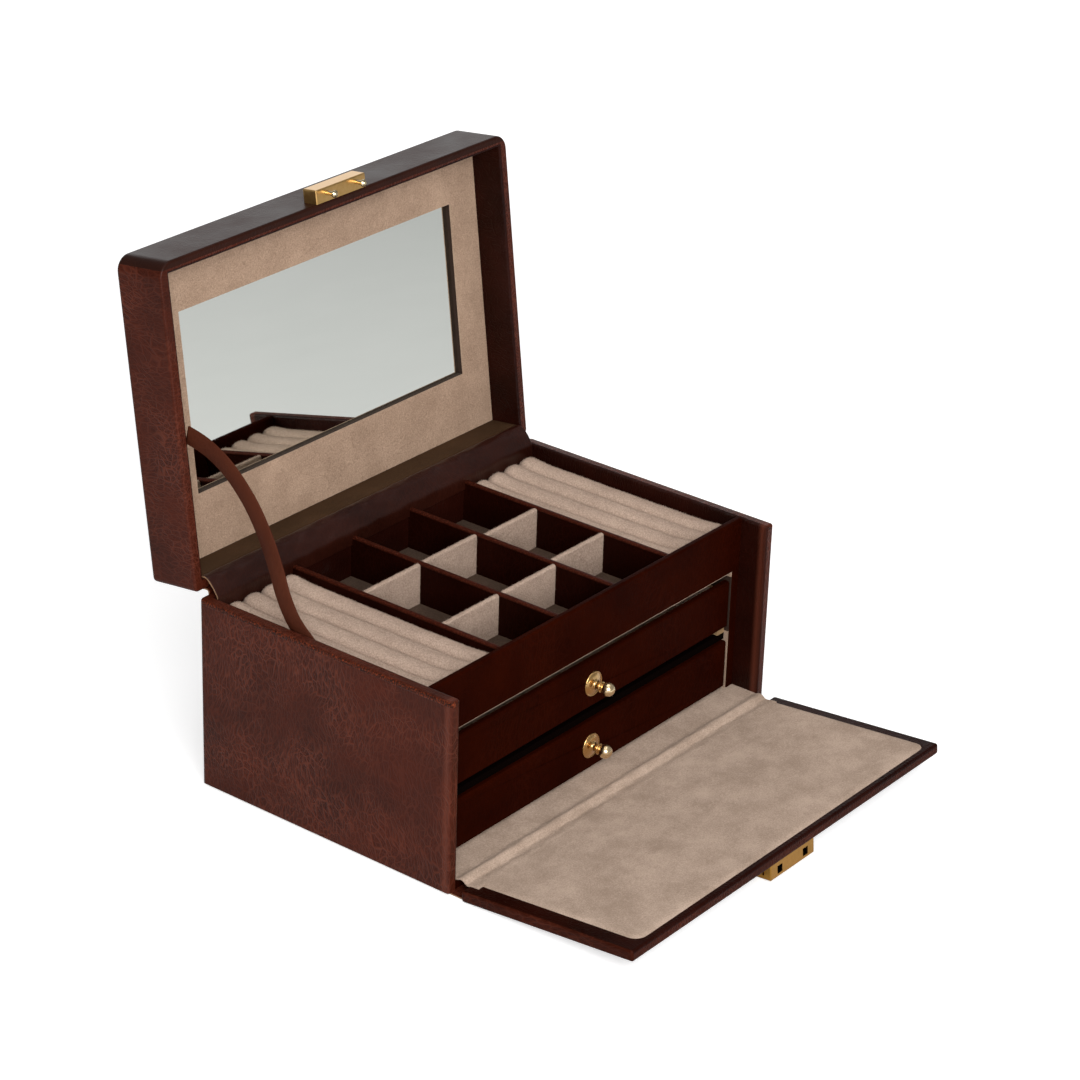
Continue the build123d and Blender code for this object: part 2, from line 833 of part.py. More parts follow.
def flap_hinge_pieces():
    """The leather and the velour that join the flap to the base."""
    across = (hinge_leather_inset - inner_half_width, inner_half_width - hinge_leather_inset)
    thickness = hinge_leather_thickness
    leather = slab(
        (underside_inset - half_width, half_width - underside_inset),
        (front - flap_open_reach + flap_wall_gap, front + underside_inset),
        (flap_floor_gap, leather_thickness),
    )
    tilt = radians(flap_tilt())
    lap_y = front - flap_open_reach + flap_thickness * sin(tilt)
    lap_z = flap_floor_gap + flap_thickness * cos(tilt) + hinge_velour_lift
    velour = [
        (front + leather_thickness - hinge_velour_gap, floor_top - thickness / 2),
        (front - flap_open_reach / 2, floor_top - thickness),
        (lap_y, lap_z),
        (lap_y - hinge_velour_lap * cos(tilt), lap_z + hinge_velour_lap * sin(tilt)),
    ]
    return {
        "flap_hinge_leather": leather,
        "flap_hinge_velour": ribbon(velour, hinge_velour_radii, thickness, across),
    }


def all_pieces():
    """Every piece by its node name, in its place on the open box."""
    boards = case_boards()
    pieces = dict(boards)
    pieces["case_leather_cover"] = case_leather_cover(boards)
    pieces["underside_leather"] = underside_leather()
    pieces["floor_lining"] = floor_lining()
    pieces.update(bay_pieces())
    pieces.update(tray_structure())
    pieces.update(tray_partitions())
    pieces.update(cell_pieces())
    pieces.update(ring_rolls())
    lid = lid_boards()
    lid["lid_leather_cover"] = lid_leather_cover(dict(lid))
    lid.update(mirror_pieces())
    lid["catch_block"] = catch_block()
    lid["catch_prongs"] = Compound(children=[prong(x) for x in prong_places()])
    pieces.update({name: opened_lid(shape) for name, shape in lid.items()})
    flap = {
        "flap_board": flap_board(),
        "flap_leather_cover": flap_leather_cover(),
        "flap_velour_pad": flap_velour_pad(),
        "lock_case": lock_case(),
        "latch_bar": latch_bar(),
        "latch_spring": latch_spring(),
    }
    pieces.update({name: opened_flap(shape) for name, shape in flap.items()})
    upper = (upper_drawer_bottom, upper_front_top)
    lower = (lower_front_bottom, lower_front_top)
    pieces.update(drawer("upper_drawer", upper_drawer_bottom, upper, upper_wall_drop))
    pieces.update(drawer("lower_drawer", lower_drawer_bottom, lower, lower_wall_drop))
    pieces["lid_strap"] = lid_strap()
    pieces.update(hinge_leathers())
    pieces.update(flap_hinge_pieces())
    return pieces


def write_parts():
    """Write each piece to its own file and print the places that the record uses."""
    os.makedirs("parts", exist_ok=True)
    pieces = all_pieces()
    for name, shape in pieces.items():
        export_step(shape, f"parts/{name}.step")
    print("pieces", len(pieces))
    print("lid hinge at", round(hinge_y, 3), round(hinge_z, 3), "open", lid_open_angle)
    print("flap hinge at", round(pivot_y, 3), round(pivot_z, 3), "swing", round(flap_swing, 3))


write_parts()
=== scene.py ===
# %% [markdown]
# # A leather jewellery box, from its boards to its polish
# The box stands open: the lid leans back on a strap, the front flap lies on its own lock, and two
# drawers wait behind small brass knobs. The hard parts come from the CAD model as a fixed frame.
# This lesson gives them their finishes, and makes the soft parts, which CAD leaves plain: velour
# rolls, the padded flap, the strap, and the leather and velour that bend at the two hinges.

# %% Load the frame
import math
import bmesh
import bpy
from mathutils import Matrix, Vector


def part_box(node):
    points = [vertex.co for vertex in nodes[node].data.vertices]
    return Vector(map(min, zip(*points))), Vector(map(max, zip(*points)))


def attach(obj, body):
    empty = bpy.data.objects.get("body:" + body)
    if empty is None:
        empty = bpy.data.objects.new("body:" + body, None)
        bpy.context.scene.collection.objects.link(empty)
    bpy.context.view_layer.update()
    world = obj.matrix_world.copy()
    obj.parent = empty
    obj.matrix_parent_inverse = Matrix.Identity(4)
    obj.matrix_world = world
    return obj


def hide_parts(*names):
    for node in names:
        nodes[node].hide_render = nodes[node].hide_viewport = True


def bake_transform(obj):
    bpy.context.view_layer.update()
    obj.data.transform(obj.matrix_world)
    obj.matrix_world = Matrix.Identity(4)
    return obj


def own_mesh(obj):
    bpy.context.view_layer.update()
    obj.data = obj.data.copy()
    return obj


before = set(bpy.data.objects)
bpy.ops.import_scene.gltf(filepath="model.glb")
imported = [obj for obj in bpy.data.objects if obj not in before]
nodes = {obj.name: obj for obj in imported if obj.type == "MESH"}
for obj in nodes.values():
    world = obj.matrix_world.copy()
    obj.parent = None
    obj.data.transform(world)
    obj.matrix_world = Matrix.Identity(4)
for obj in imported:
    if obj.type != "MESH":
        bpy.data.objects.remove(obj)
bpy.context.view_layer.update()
mm = 0.001

# %% [markdown]
# ## Two small helpers for finishes
# A colour is written as it looks on a screen, in hex, but the renderer adds light in linear
# numbers, so one function turns the one into the other. The other adds a node: an input may be a
# number, a colour, a node or one output of a node, and it is set or linked as it needs to be.

# %% Colour and node helpers


def linear(hex_colour):
    """The linear RGBA of an sRGB hex colour."""
    values = [int(hex_colour[i:i + 2], 16) / 255 for i in (1, 3, 5)]
    return [v / 12.92 if v <= 0.04045 else ((v + 0.055) / 1.055) ** 2.4 for v in values] + [1.0]


def add(tree, kind, inputs=None, **settings):
    """Adds one node to a tree, with its settings, its input values and its links."""
    node = tree.nodes.new(kind)
    for name, value in settings.items():
        setattr(node, name, value)
    for key, value in (inputs or {}).items():
        socket = node.inputs[key]
        if isinstance(value, bpy.types.Node):
            tree.links.new(next(o for o in value.outputs if o.enabled), socket)
        elif isinstance(value, bpy.types.NodeSocket):
            tree.links.new(value, socket)
        elif isinstance(value, str) and value.startswith("#"):
            socket.default_value = linear(value)
        else:
            socket.default_value = value
    return node


def new_finish(name):
    """An empty material with its output, and its shader tree."""
    finish = bpy.data.materials.new(name)
    finish.use_nodes = True
    finish.node_tree.nodes.clear()
    return finish, finish.node_tree


def shine(tree, inputs):
    """Ends a material's tree in one principled shader with the given inputs."""
    shader = add(tree, "ShaderNodeBsdfPrincipled", inputs)
    add(tree, "ShaderNodeOutputMaterial", {"Surface": shader})


def layered(tree, colour, *layers):
    """A colour with others laid over it in turn, each by its own share."""
    for share, over in layers:
        inputs = {"Factor": share, "A": colour, "B": over}
        colour = add(tree, "ShaderNodeMix", inputs, data_type="RGBA").outputs["Result"]
    return colour


def in_millimetres(tree):
    """Object coordinates counted in millimetres, so that a pattern's scale is one over its size."""
    place = add(tree, "ShaderNodeTexCoord")
    return add(tree, "ShaderNodeMapping", {"Vector": place.outputs["Object"], "Scale": (1000, 1000, 1000)})


print("black is", linear("#000000")[:3], "and mid grey is", [round(v, 3) for v in linear("#808080")[:3]])

# %% [markdown]
# ## Coordinates that follow a lid
# The lid and the flap stand open, but a skin is easier to describe on a shut box: its grain runs
# upright, its rim is level. So each leather reads its place as if its piece were swung shut. That
# is one turn about X and one shift, which a Mapping node does. Parts of a skin that differ from the
# rest are then plain boxes of space, in millimetres.

# %% Hinge lines and shut coordinates
lid_hinge = Vector((0, 82.28, 105.9))
flap_hinge = Vector((0, -86.566, 0.614))
lid_open = math.radians(97.0)
flap_open = math.radians(84.771)
fixed = (0.0, Vector())
lid_opened = (lid_open, lid_hinge)
flap_opened = (-flap_open, flap_hinge)


def shut_place(tree, swing, hinge):
    """Millimetre coordinates of a piece swung shut again by an angle about a hinge line along X."""
    shift = hinge - Matrix.Rotation(swing, 3, "X") @ hinge
    inputs = {"Vector": in_millimetres(tree), "Location": shift, "Rotation": (swing, 0, 0)}
    return add(tree, "ShaderNodeMapping", inputs)


def in_box(tree, place, centre, half):
    """1 inside a box given by its centre and half sizes in millimetres, and 0 outside."""
    shift = [-c / h for c, h in zip(centre, half)]
    scale = [1 / h for h in half]
    unit = add(tree, "ShaderNodeMapping", {"Vector": place, "Location": shift, "Scale": scale})
    size = add(tree, "ShaderNodeVectorMath", {0: unit}, operation="ABSOLUTE")
    sides = add(tree, "ShaderNodeSeparateXYZ", {0: size}).outputs
    wide = add(tree, "ShaderNodeMath", {0: sides["X"], 1: sides["Y"]}, operation="MAXIMUM")
    widest = add(tree, "ShaderNodeMath", {0: wide, 1: sides["Z"]}, operation="MAXIMUM")
    wall = {"From Min": 0.998, "From Max": 1.002, "To Min": 1.0, "To Max": 0.0}
    return add(tree, "ShaderNodeMapRange", {"Value": widest, **wall})


def off_level(tree, place, axis, level):
    """How many millimetres a place is from a level along one axis."""
    along = add(tree, "ShaderNodeSeparateXYZ", {0: place}).outputs[axis]
    off = add(tree, "ShaderNodeMath", {0: along, 1: level}, operation="SUBTRACT")
    return add(tree, "ShaderNodeMath", {0: off}, operation="ABSOLUTE")


print("the lid is open by 97 degrees, the flap by 84.8")

# %% [markdown]
# ## Calf leather, drum dyed, waxed and polished
# Real box calf has three things to see. A pebble grain under a millimetre wide. Creases, 2 to 3 mm
# apart and three times as long, that run upright, bend, bunch in some places and fade in others.
# And a dye that is uneven, so dark pools sit beside redder skin. The edges between the cells of a Voronoi
# pattern, stretched upright and bent by a slow drift, branch and join as creases do. They stand up as thin
# ridges, and their crests are painted paler, partly as dye rubbed thin by polish and partly as a painted
# highlight, so both the gloss and the colour show them.

# %% Creases


def crease_lines(tree, bent):
    """Coarse and fine lines along the edges of upright cells: up to 1 on a crest, and 0 between."""
    upright = add(tree, "ShaderNodeVectorMath", {0: bent, 1: (1.0, 1.0, 0.34)}, operation="MULTIPLY")
    lines = 0.0
    for scale, reach, height in ((0.40, 0.15, 1.0), (0.95, 0.20, 0.5)):
        cells = {"Vector": upright, "Scale": scale}
        net = add(tree, "ShaderNodeTexVoronoi", cells, feature="DISTANCE_TO_EDGE")
        crest = {"Value": net, "From Max": reach, "To Min": height, "To Max": 0.0}
        line = add(tree, "ShaderNodeMapRange", crest, interpolation_type="SMOOTHSTEP")
        lines = add(tree, "ShaderNodeMath", {0: line, 1: lines}, operation="MAXIMUM")
    return lines


print("creases 2.5 mm and 1 mm apart")

# %% [markdown]
# ## Where a cover's skin differs
# One hide covers a case, but it isn't drawn the same all over. Inside the case and the lid, the skin is
# painted darker, as painted shade in the recesses, and the flap's inside is darker too. The lid's front is a
# calm, smooth piece, also painted darker as shade. Along the walls' front edges a paler strip is a painted
# highlight. And where a cover is turned over a rim it is gathered: a band some 2 mm wide, nearly black, with
# rust flecks on the tops of its tiny pleats.

# %% Leather


def calf_leather(
    name, dark, mid, wear_and_highlight, crease, roughness, ior, opened=fixed,
    inner=None, calm=None, edge_highlight=None, rim=None, band_tones=("#1E0803", "#8A3C1F"),
):
    """Polished calf with creases of a height in mm. Optional boxes give skin painted darker as shade inside,
    and a calm front, smoother and painted darker as shade. An optional Y gives a front edge with a strip of
    painted highlight, and an optional Z a band along a rim: gathered leather on a case, a painted highlight
    on partition tops."""
    finish, tree = new_finish(name)
    place = shut_place(tree, *opened)
    slow = {"Vector": place, "Scale": 0.03, "Detail": 2.0, "Roughness": 0.4}
    drift = add(tree, "ShaderNodeTexNoise", slow).outputs["Color"]
    centred = add(tree, "ShaderNodeVectorMath", {0: drift, 1: (0.5, 0.5, 0.5)}, operation="SUBTRACT")
    pushed = {0: centred, 1: (26, 26, 26), 2: place}
    bent = add(tree, "ShaderNodeVectorMath", pushed, operation="MULTIPLY_ADD")
    patches = add(tree, "ShaderNodeTexNoise", {"Vector": place, "Scale": 0.028, "Detail": 2.0})
    bunched = {"Value": patches, "From Min": 0.38, "From Max": 0.62, "To Min": 0.3}
    where = add(tree, "ShaderNodeMapRange", bunched)
    creases = add(tree, "ShaderNodeMath", {0: crease_lines(tree, bent), 1: where}, operation="MULTIPLY")
    calm_shade = []
    if calm:
        smooth = in_box(tree, place, *calm)
        lively = add(tree, "ShaderNodeMath", {0: smooth, 1: -0.75, 2: 1.0}, operation="MULTIPLY_ADD")
        creases = add(tree, "ShaderNodeMath", {0: creases, 1: lively}, operation="MULTIPLY")
        # The calm box is also painted darker: painted shade on the lid's front.
        calm_shade = [(add(tree, "ShaderNodeMath", {0: smooth, 1: 0.65}, operation="MULTIPLY"), "#1A0F0A")]
    uneven = {"Vector": place, "Scale": 0.035, "Detail": 6.0, "Roughness": 0.55}
    dye = add(tree, "ShaderNodeTexNoise", uneven)
    pool = add(tree, "ShaderNodeMapRange", {"Value": dye, "From Min": 0.26, "From Max": 0.74})
    # Crests are painted paler: partly dye worn thin, partly a painted highlight.
    crest = add(tree, "ShaderNodeMath", {0: creases, 1: min(crease * 2.6, 0.5)}, operation="MULTIPLY")
    tones = [(pool, mid), (crest, wear_and_highlight), *calm_shade]
    waxed = {"From Min": 0.3, "From Max": 0.7, "To Min": roughness - 0.05, "To Max": roughness + 0.07}
    gloss = add(tree, "ShaderNodeMapRange", {"Value": dye, **waxed})
    grain = {"Vector": bent, "Scale": 1.1, "Smoothness": 0.6}
    pebbles = add(tree, "ShaderNodeTexVoronoi", grain, feature="SMOOTH_F1")
    fine = {"Height": pebbles, "Distance": 0.04 * mm, "Strength": 0.5}
    relief = add(tree, "ShaderNodeBump", fine, invert=True)
    ridges = {"Height": creases, "Distance": crease * mm, "Strength": 1.0, "Normal": relief}
    relief = add(tree, "ShaderNodeBump", ridges)
    # Inside the box the skin is painted darker: painted shade in the recesses.
    if inner:
        inside = in_box(tree, place, *inner)
        tones.append((inside, layered(tree, "#180502", (pool, "#2B0C05"))))
        gloss = add(tree, "ShaderNodeMath", {0: inside, 1: 0.06, 2: gloss}, operation="MULTIPLY_ADD")
    # A paler strip along a front edge: a painted highlight.
    if edge_highlight:
        near = {"Value": off_level(tree, place, "Y", edge_highlight), "From Max": 3.2, "To Min": 0.42, "To Max": 0.0}
        edge_highlight_share = add(tree, "ShaderNodeMapRange", near, interpolation_type="SMOOTHSTEP")
        tones.append((edge_highlight_share, wear_and_highlight))
    if rim:
        near = {"From Min": 0.9, "From Max": 1.5, "To Min": 1.0, "To Max": 0.0}
        band = add(tree, "ShaderNodeMapRange", {"Value": off_level(tree, place, "Z", rim), **near})
        if inner:
            outside = add(tree, "ShaderNodeMath", {0: 1.0, 1: inside}, operation="SUBTRACT")
            band = add(tree, "ShaderNodeMath", {0: band, 1: outside}, operation="MULTIPLY")
        drawn_up = add(tree, "ShaderNodeVectorMath", {0: place, 1: (1.0, 1.0, 0.6)}, operation="MULTIPLY")
        folds = {"Vector": drawn_up, "Scale": 1.5, "Detail": 3.0, "Roughness": 0.7}
        pleats = add(tree, "ShaderNodeTexNoise", folds)
        fleck = add(tree, "ShaderNodeMapRange", {"Value": pleats, "From Min": 0.48, "From Max": 0.66})
        tones.append((band, layered(tree, band_tones[0], (fleck, band_tones[1]))))
        raised = add(tree, "ShaderNodeMath", {0: band, 1: pleats}, operation="MULTIPLY")
        lifted = {"Height": raised, "Distance": 0.5 * mm, "Strength": 0.8, "Normal": relief}
        relief = add(tree, "ShaderNodeBump", lifted)
    colour = layered(tree, dark, *tones)
    shine(tree, {"Base Color": colour, "Roughness": gloss, "IOR": ior, "Normal": relief})
    return finish


# The inside boxes mark skin painted darker as shade, and the case's front edge Y carries a painted highlight
# strip.
case_inside = ((0, -7, 70), (125.2, 83.4, 66))
case_rim, case_edge_highlight = 103.6, -78.4
# The lid's front box is smoother and painted darker as shade.
lid_inside = ((0, -3.4, 116), (125.2, 79.2, 16))
lid_front = ((0, -87, 122), (131, 3.4, 17))
flap_inside = ((0, -76.8, 54), (129, 6.2, 62))
# The partitions' top band is a painted highlight.
partition_top_highlight = 102.6
skin = {"dark": "#2D0F07", "mid": "#45180A", "wear_and_highlight": "#743C2C"}
skin.update({"crease": 0.18, "roughness": 0.35, "ior": 1.20})
flap_skin = {**skin, "dark": "#240B05", "mid": "#391308", "wear_and_highlight": "#5E2E20", "ior": 1.12}
plain_leather = calf_leather("calf_leather_plain", **skin)
case_leather = calf_leather(
    "calf_leather_case", **skin, inner=case_inside, rim=case_rim, edge_highlight=case_edge_highlight
)
lid_leather = calf_leather(
    "calf_leather_lid", **skin, opened=lid_opened, inner=lid_inside, calm=lid_front
)
flap_leather = calf_leather("calf_leather_flap", **flap_skin, opened=flap_opened, inner=flap_inside)
# A darker copy of the leather for the fronts and boards set back in the bays: painted shade.
recess_shade_leather = calf_leather("calf_leather_recess_shade", "#1B0401", "#290801", "#3E150B", 0.08, 0.38, 1.04)
# A near-black copy of the leather for the partitions, painted shade for the deep cells, with a paler band
# along their tops as a painted highlight.
shaded_partition_leather = calf_leather(
    "calf_leather_partition_shade", "#120301", "#1E0602", "#34120A", 0.08, 0.36, 1.10,
    rim=partition_top_highlight, band_tones=("#33120A", "#512417"),
)
hinge_leather = calf_leather("calf_leather_hinge", "#1C0804", "#2E1008", "#4A2216", 0.06, 0.33, 1.32)
print("leathers made")

# %% [markdown]
# ## Velour: a short cut pile on cloth
# A pile scatters light back at a grazing look, which is what the sheen does, and it never shines.
# Stroked one way it is lighter than stroked the other, so soft patches some 20 mm wide lie all
# over it. The pile itself is 0.3 mm fine. That is too fine to show here, so it is drawn at 0.8 mm.
# Two velours have a part painted dark, as painted shade: the cut edge round the mirror's window, and the bay
# walls beside the upper drawer.

# %% Velour


def velour(name, shadow, light, sheen, patchy, shade_box=None, opened=fixed):
    """Short-pile velour: its two strokes, sheen, how patchy it is, and a box painted dark as shade."""
    finish, tree = new_finish(name)
    place = in_millimetres(tree)
    patches = {"Vector": place, "Scale": 0.055, "Detail": 4.0, "Roughness": 0.6}
    strokes = add(tree, "ShaderNodeTexNoise", patches)
    pile = add(tree, "ShaderNodeTexNoise", {"Vector": place, "Scale": 1.3, "Detail": 3.0, "Roughness": 0.8})
    level = 0.5 - 0.5 * patchy
    stroked = add(tree, "ShaderNodeMath", {0: strokes, 1: patchy, 2: level}, operation="MULTIPLY_ADD")
    both = add(tree, "ShaderNodeMath", {0: pile, 1: 1.1, 2: stroked}, operation="MULTIPLY_ADD")
    shade = add(tree, "ShaderNodeMapRange", {"Value": both, "From Min": 0.86, "From Max": 1.26})
    tones = [(shade, light)]
    # Inside the box the velour is painted dark: painted shade.
    if shade_box:
        tones.append((in_box(tree, shut_place(tree, *opened), *shade_box), "#2E211B"))
    relief = add(tree, "ShaderNodeBump", {"Height": pile, "Distance": 0.3 * mm, "Strength": 0.7})
    shine(
        tree,
        {
            "Base Color": layered(tree, shadow, *tones),
            "Roughness": 0.95,
            "IOR": 1.15,
            "Sheen Weight": sheen,
            "Sheen Roughness": 0.5,
            "Sheen Tint": "#E8D6C6",
            "Normal": relief,
        },
    )
    return finish


# Both boxes are painted dark as shade where no light comes.
window_edge_shade = ((0, 0, 128), (130, 90, 2.0))
upper_bay_shade = ((0, 5, 57), (130, 76, 16))
taupe_velour = velour("velour_taupe", "#9F8978", "#C5AD9B", 0.10, 0.8)
roll_velour = velour("velour_rolls", "#998374", "#CDB4A2", 0.10, 0.25)
panel_velour = velour("velour_lid_panel", "#967C68", "#BEA18A", 0.10, 0.45, window_edge_shade, lid_opened)
bay_velour = velour("velour_bay_sides", "#8A7463", "#AE9582", 0.10, 0.5, upper_bay_shade)
# The cell floors get a darker copy of the velour: painted shade in the deep cells.
cell_floor_shade_velour = velour("velour_cell_floor_shade", "#3E2F26", "#5A483C", 0.05, 0.5)
print("velours made for the flap, the rolls, the lid, the bay and the cell floors")

# %% [markdown]
# ## Brass, mirror, and what is never seen
# The knobs and the lock are turned and pressed brass. Polishing leaves faint waves in the gloss, so the
# roughness wanders a little, and a clear lacquer over it gives one more broad, soft light. The knobs' balls
# are painted palest of all, as a painted highlight, and the lock's hollow is dark. The mirror is silvered
# float glass, and such glass is a little green and takes some light away. Boards and card are raw inside the
# covers: they show only when something is taken apart, but they still get a finish.

# %% Metals, mirror, board and card


def metal(name, colour, shade, roughness, part=None, part_tone="#1E1408", opened=fixed, lacquer=0.0):
    """Polished metal whose gloss and colour wander; one part, in a box, may have a tone of its own, such as a
    painted highlight.
    """
    finish, tree = new_finish(name)
    waves = add(tree, "ShaderNodeTexNoise", {"Vector": in_millimetres(tree), "Scale": 0.5, "Detail": 3.0})
    tones = [(waves, colour)]
    if part:
        tones.append((in_box(tree, shut_place(tree, *opened), *part), part_tone))
    wander = {"Value": waves, "To Min": roughness * 0.7, "To Max": roughness * 1.3}
    shine(
        tree,
        {
            "Base Color": layered(tree, shade, *tones),
            "Metallic": 1.0,
            "Roughness": add(tree, "ShaderNodeMapRange", wander),
            "Coat Weight": lacquer,
            "Coat Roughness": 0.22,
            "Normal": add(tree, "ShaderNodeBump", {"Height": waves, "Distance": 0.02 * mm, "Strength": 0.4}),
        },
    )
    return finish


def pressed_fibre(name, dark, light, fibre, ior=1.45):
    """Raw board, card or cloth: short pale and dark fibres of a given length in millimetres."""
    finish, tree = new_finish(name)
    threads = {"Vector": in_millimetres(tree), "Scale": 1 / fibre, "Detail": 4.0, "Roughness": 0.7}
    fibres = add(tree, "ShaderNodeTexNoise", threads)
    relief = add(tree, "ShaderNodeBump", {"Height": fibres, "Distance": 0.05 * mm, "Strength": 0.6})
    colour = layered(tree, dark, (fibres, light))
    shine(tree, {"Base Color": colour, "Roughness": 0.85, "IOR": ior, "Normal": relief})
    return finish


lock_hollow = ((0, -90.7, 98.4), (17.5, 3.6, 5.4))
knob_ball_highlight = ((0, -75.0, 40), (4.2, 3.7, 24))
brass = metal("polished_brass", "#DDB473", "#C6984F", 0.34, lacquer=0.5)
lock_brass = metal("lock_brass", "#B88A46", "#9E7230", 0.22, lock_hollow, opened=flap_opened)
# The knob balls' paler tone is a painted highlight.
satin_brass = metal("satin_brass", "#E0B777", "#C9984F", 0.25, knob_ball_highlight, "#EED3A4", lacquer=1.0)
prong_metal = metal("prong_pale_brass", "#DCCDAE", "#B9A67F", 0.20)
steel = metal("spring_steel", "#B8B8B8", "#8E8E90", 0.3)
silvered_glass, tree = new_finish("silvered_glass")
clouds = add(tree, "ShaderNodeTexNoise", {"Vector": in_millimetres(tree), "Scale": 0.012})
tint = layered(tree, "#DEE2DC", (clouds, "#E6E8E3"))
shine(tree, {"Base Color": tint, "Metallic": 1.0, "Roughness": 0.015})
# The shelf between the drawers gets a near-black finish: painted shade in the gap.
shelf_shade_black = pressed_fibre("shelf_black_painted_shade", "#060302", "#0D0605", 0.7, ior=1.02)
fibreboard = pressed_fibre("raw_fibreboard", "#7E6040", "#A88A64", 1.5)
card = pressed_fibre("grey_card", "#8C857A", "#B5AEA2", 0.8)
print("metals and boards made")

# %% [markdown]
# ## Strap leather
# The strap that stops the lid is cut from an unpolished split: matt, reddish, with a short nap.
# The lid's back wall is lined with a thin, matt, olive-brown skin, and where leather is cut through
# its pale middle shows.

# %% Strap leather
strap_leather = calf_leather("split_leather_strap", "#3E1B10", "#4E2617", "#5E3324", 0.05, 0.66, 1.15)
cut_edge = pressed_fibre("leather_cut_edge", "#6B4A34", "#A98462", 0.6)
olive_lining = calf_leather("matt_lining_leather", "#3A2819", "#4B3524", "#57402C", 0.05, 0.75, 1.15)
print("strap, cut edge and matt lining made")

# %% [markdown]
# ## Each hard part gets its finish
# The CAD parts keep their shape and their place. Only what they are made of changes here.

# %% Finishes for the CAD parts
panels = ["left_bay_board", "right_bay_board", "tray_front_panel", "upper_drawer_front", "lower_drawer_front"]
partitions = [f"partition_{n}" for n in (1, 2, 3, 4)]
coverings = [
    (case_leather, ["case_leather_cover"]),
    (lid_leather, ["lid_leather_cover"]),
    (flap_leather, ["flap_leather_cover"]),
    (plain_leather, ["underside_leather"]),
    (recess_shade_leather, ["base_board", *panels]),
    (shaded_partition_leather, partitions),
    (panel_velour, ["mirror_velour_panel"]),
    (bay_velour, ["bay_side_linings"]),
    (cell_floor_shade_velour, ["cell_floor_linings"]),
    (roll_velour, [f"column_{n}_dividers" for n in (1, 2, 3)]),
    (taupe_velour, ["floor_lining", "tray_underside_lining", "upper_drawer_lining", "lower_drawer_lining"]),
    (shelf_shade_black, ["shelf_board", "shelf_lining"]),
    (brass, ["catch_block"]),
    (prong_metal, ["catch_prongs"]),
    (lock_brass, ["lock_case", "latch_bar"]),
    (silvered_glass, ["mirror_glass"]),
    (card, ["mirror_packing_frame", "mirror_backing_card"]),
]
finishes = {name: finish for finish, names in coverings for name in names}
for name, node in nodes.items():
    node.data.materials.clear()
    node.data.materials.append(finishes.get(name, fibreboard))
print("finished", len(finishes), "covered parts,", len(nodes) - len(finishes), "bare ones")

# %% [markdown]
# ## No edge is sharp
# Leather is turned over every board, so each edge is a small round, and it is the round that
# catches the light. The CAD leaves these edges square. A weld joins the faces and a bevel rounds
# the edges, without a vertex of the CAD mesh being changed. Thin boards and brass get smaller ones.

# %% Rounded edges
sharp = math.radians(50)
rounds = {"case_leather_cover": 2.3, "lid_leather_cover": 1.7, "flap_leather_cover": 1.4}
for names, width in ((partitions, 0.7), (panels, 0.6), (("catch_block", "lock_case"), 0.25)):
    rounds.update({name: width for name in names})
for name, width in rounds.items():
    weld = nodes[name].modifiers.new("weld", "WELD")
    weld.merge_threshold = 0.002 * mm
    turned = nodes[name].modifiers.new("turned_edge", "BEVEL")
    turned.width = width * mm
    turned.segments = 3
    turned.limit_method = "ANGLE"
    turned.angle_limit = sharp
    turned.harden_normals = True
print("rounded the edges of", len(rounds), "parts")

# %% [markdown]
# ## Where things are
# The lid and the flap are open, so what lies on them is easiest to place as if they were shut,
# and then swung about their hinge lines, as the CAD model does.

# %% Sizes and pieces
half_width = 130 * mm
inner_half = 124 * mm
rim = 105.2 * mm
sheet = 0.9 * mm


def swung(point, swing, hinge):
    """A point of a shut piece, in millimetres, swung open about its hinge line, in metres."""
    return (hinge + Matrix.Rotation(swing, 3, "X") @ (Vector(point) - hinge)) * mm


def on_open_flap(point):
    """A point of the shut flap, where the flap lies open."""
    return swung(point, flap_open, flap_hinge)


def on_open_lid(point):
    """A point of the shut lid, where the lid stands open."""
    return swung(point, -lid_open, lid_hinge)


def placed(name, data):
    """A new object for a mesh, a lamp or a camera, in the scene."""
    thing = bpy.data.objects.new(name, data)
    bpy.context.scene.collection.objects.link(thing)
    return thing


def plain_piece(name, mesh, finish, body=None):
    """A new object for a finished mesh, smooth, with its finish, riding on a body if one is named."""
    piece = placed(name, mesh)
    mesh.materials.clear()
    mesh.materials.append(finish)
    mesh.shade_smooth()
    if body:
        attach(piece, body)
    return piece


print("flap's free edge lies at", [round(v, 4) for v in on_open_flap((0, -87.2, 105.5))])

# %% [markdown]
# ## From rings of points to a mesh
# Knobs, rolls and the strap are all rings of points in a row. Faces join each ring to the next, and
# a tip may close each end. Modifiers then refine some of them, and what they make is kept as a mesh.

# %% Mesh helpers


def skin_over(shape, rings, tips=()):
    """Faces between rings of vertices, and a fan from the first and the last ring to its tip."""
    for a, b in zip(rings[:-1], rings[1:]):
        for t in range(len(a)):
            shape.faces.new((a[t], a[t - 1], b[t - 1], b[t]))
    for ring, tip in zip((rings[0], rings[-1]), tips):
        pole = shape.verts.new(tip)
        for t in range(len(ring)):
            shape.faces.new((ring[t], ring[t - 1], pole))


def as_mesh(shape, name, outward=True):
    """A shape as a named mesh, with its faces turned outward unless it is an open sheet."""
    if outward:
        bmesh.ops.recalc_face_normals(shape, faces=shape.faces)
    mesh = bpy.data.meshes.new(name)
    shape.to_mesh(mesh)
    shape.free()
    return mesh


def evaluated_mesh(piece):
    """The mesh that a piece's modifiers make of it."""
    bpy.context.view_layer.update()
    return bpy.data.meshes.new_from_object(piece.evaluated_get(bpy.context.evaluated_depsgraph_get()))


def in_mm(piece):
    """A piece's size in millimetres, to print."""
    return [round(v / mm, 2) for v in piece.dimensions]


print("mesh helpers ready")

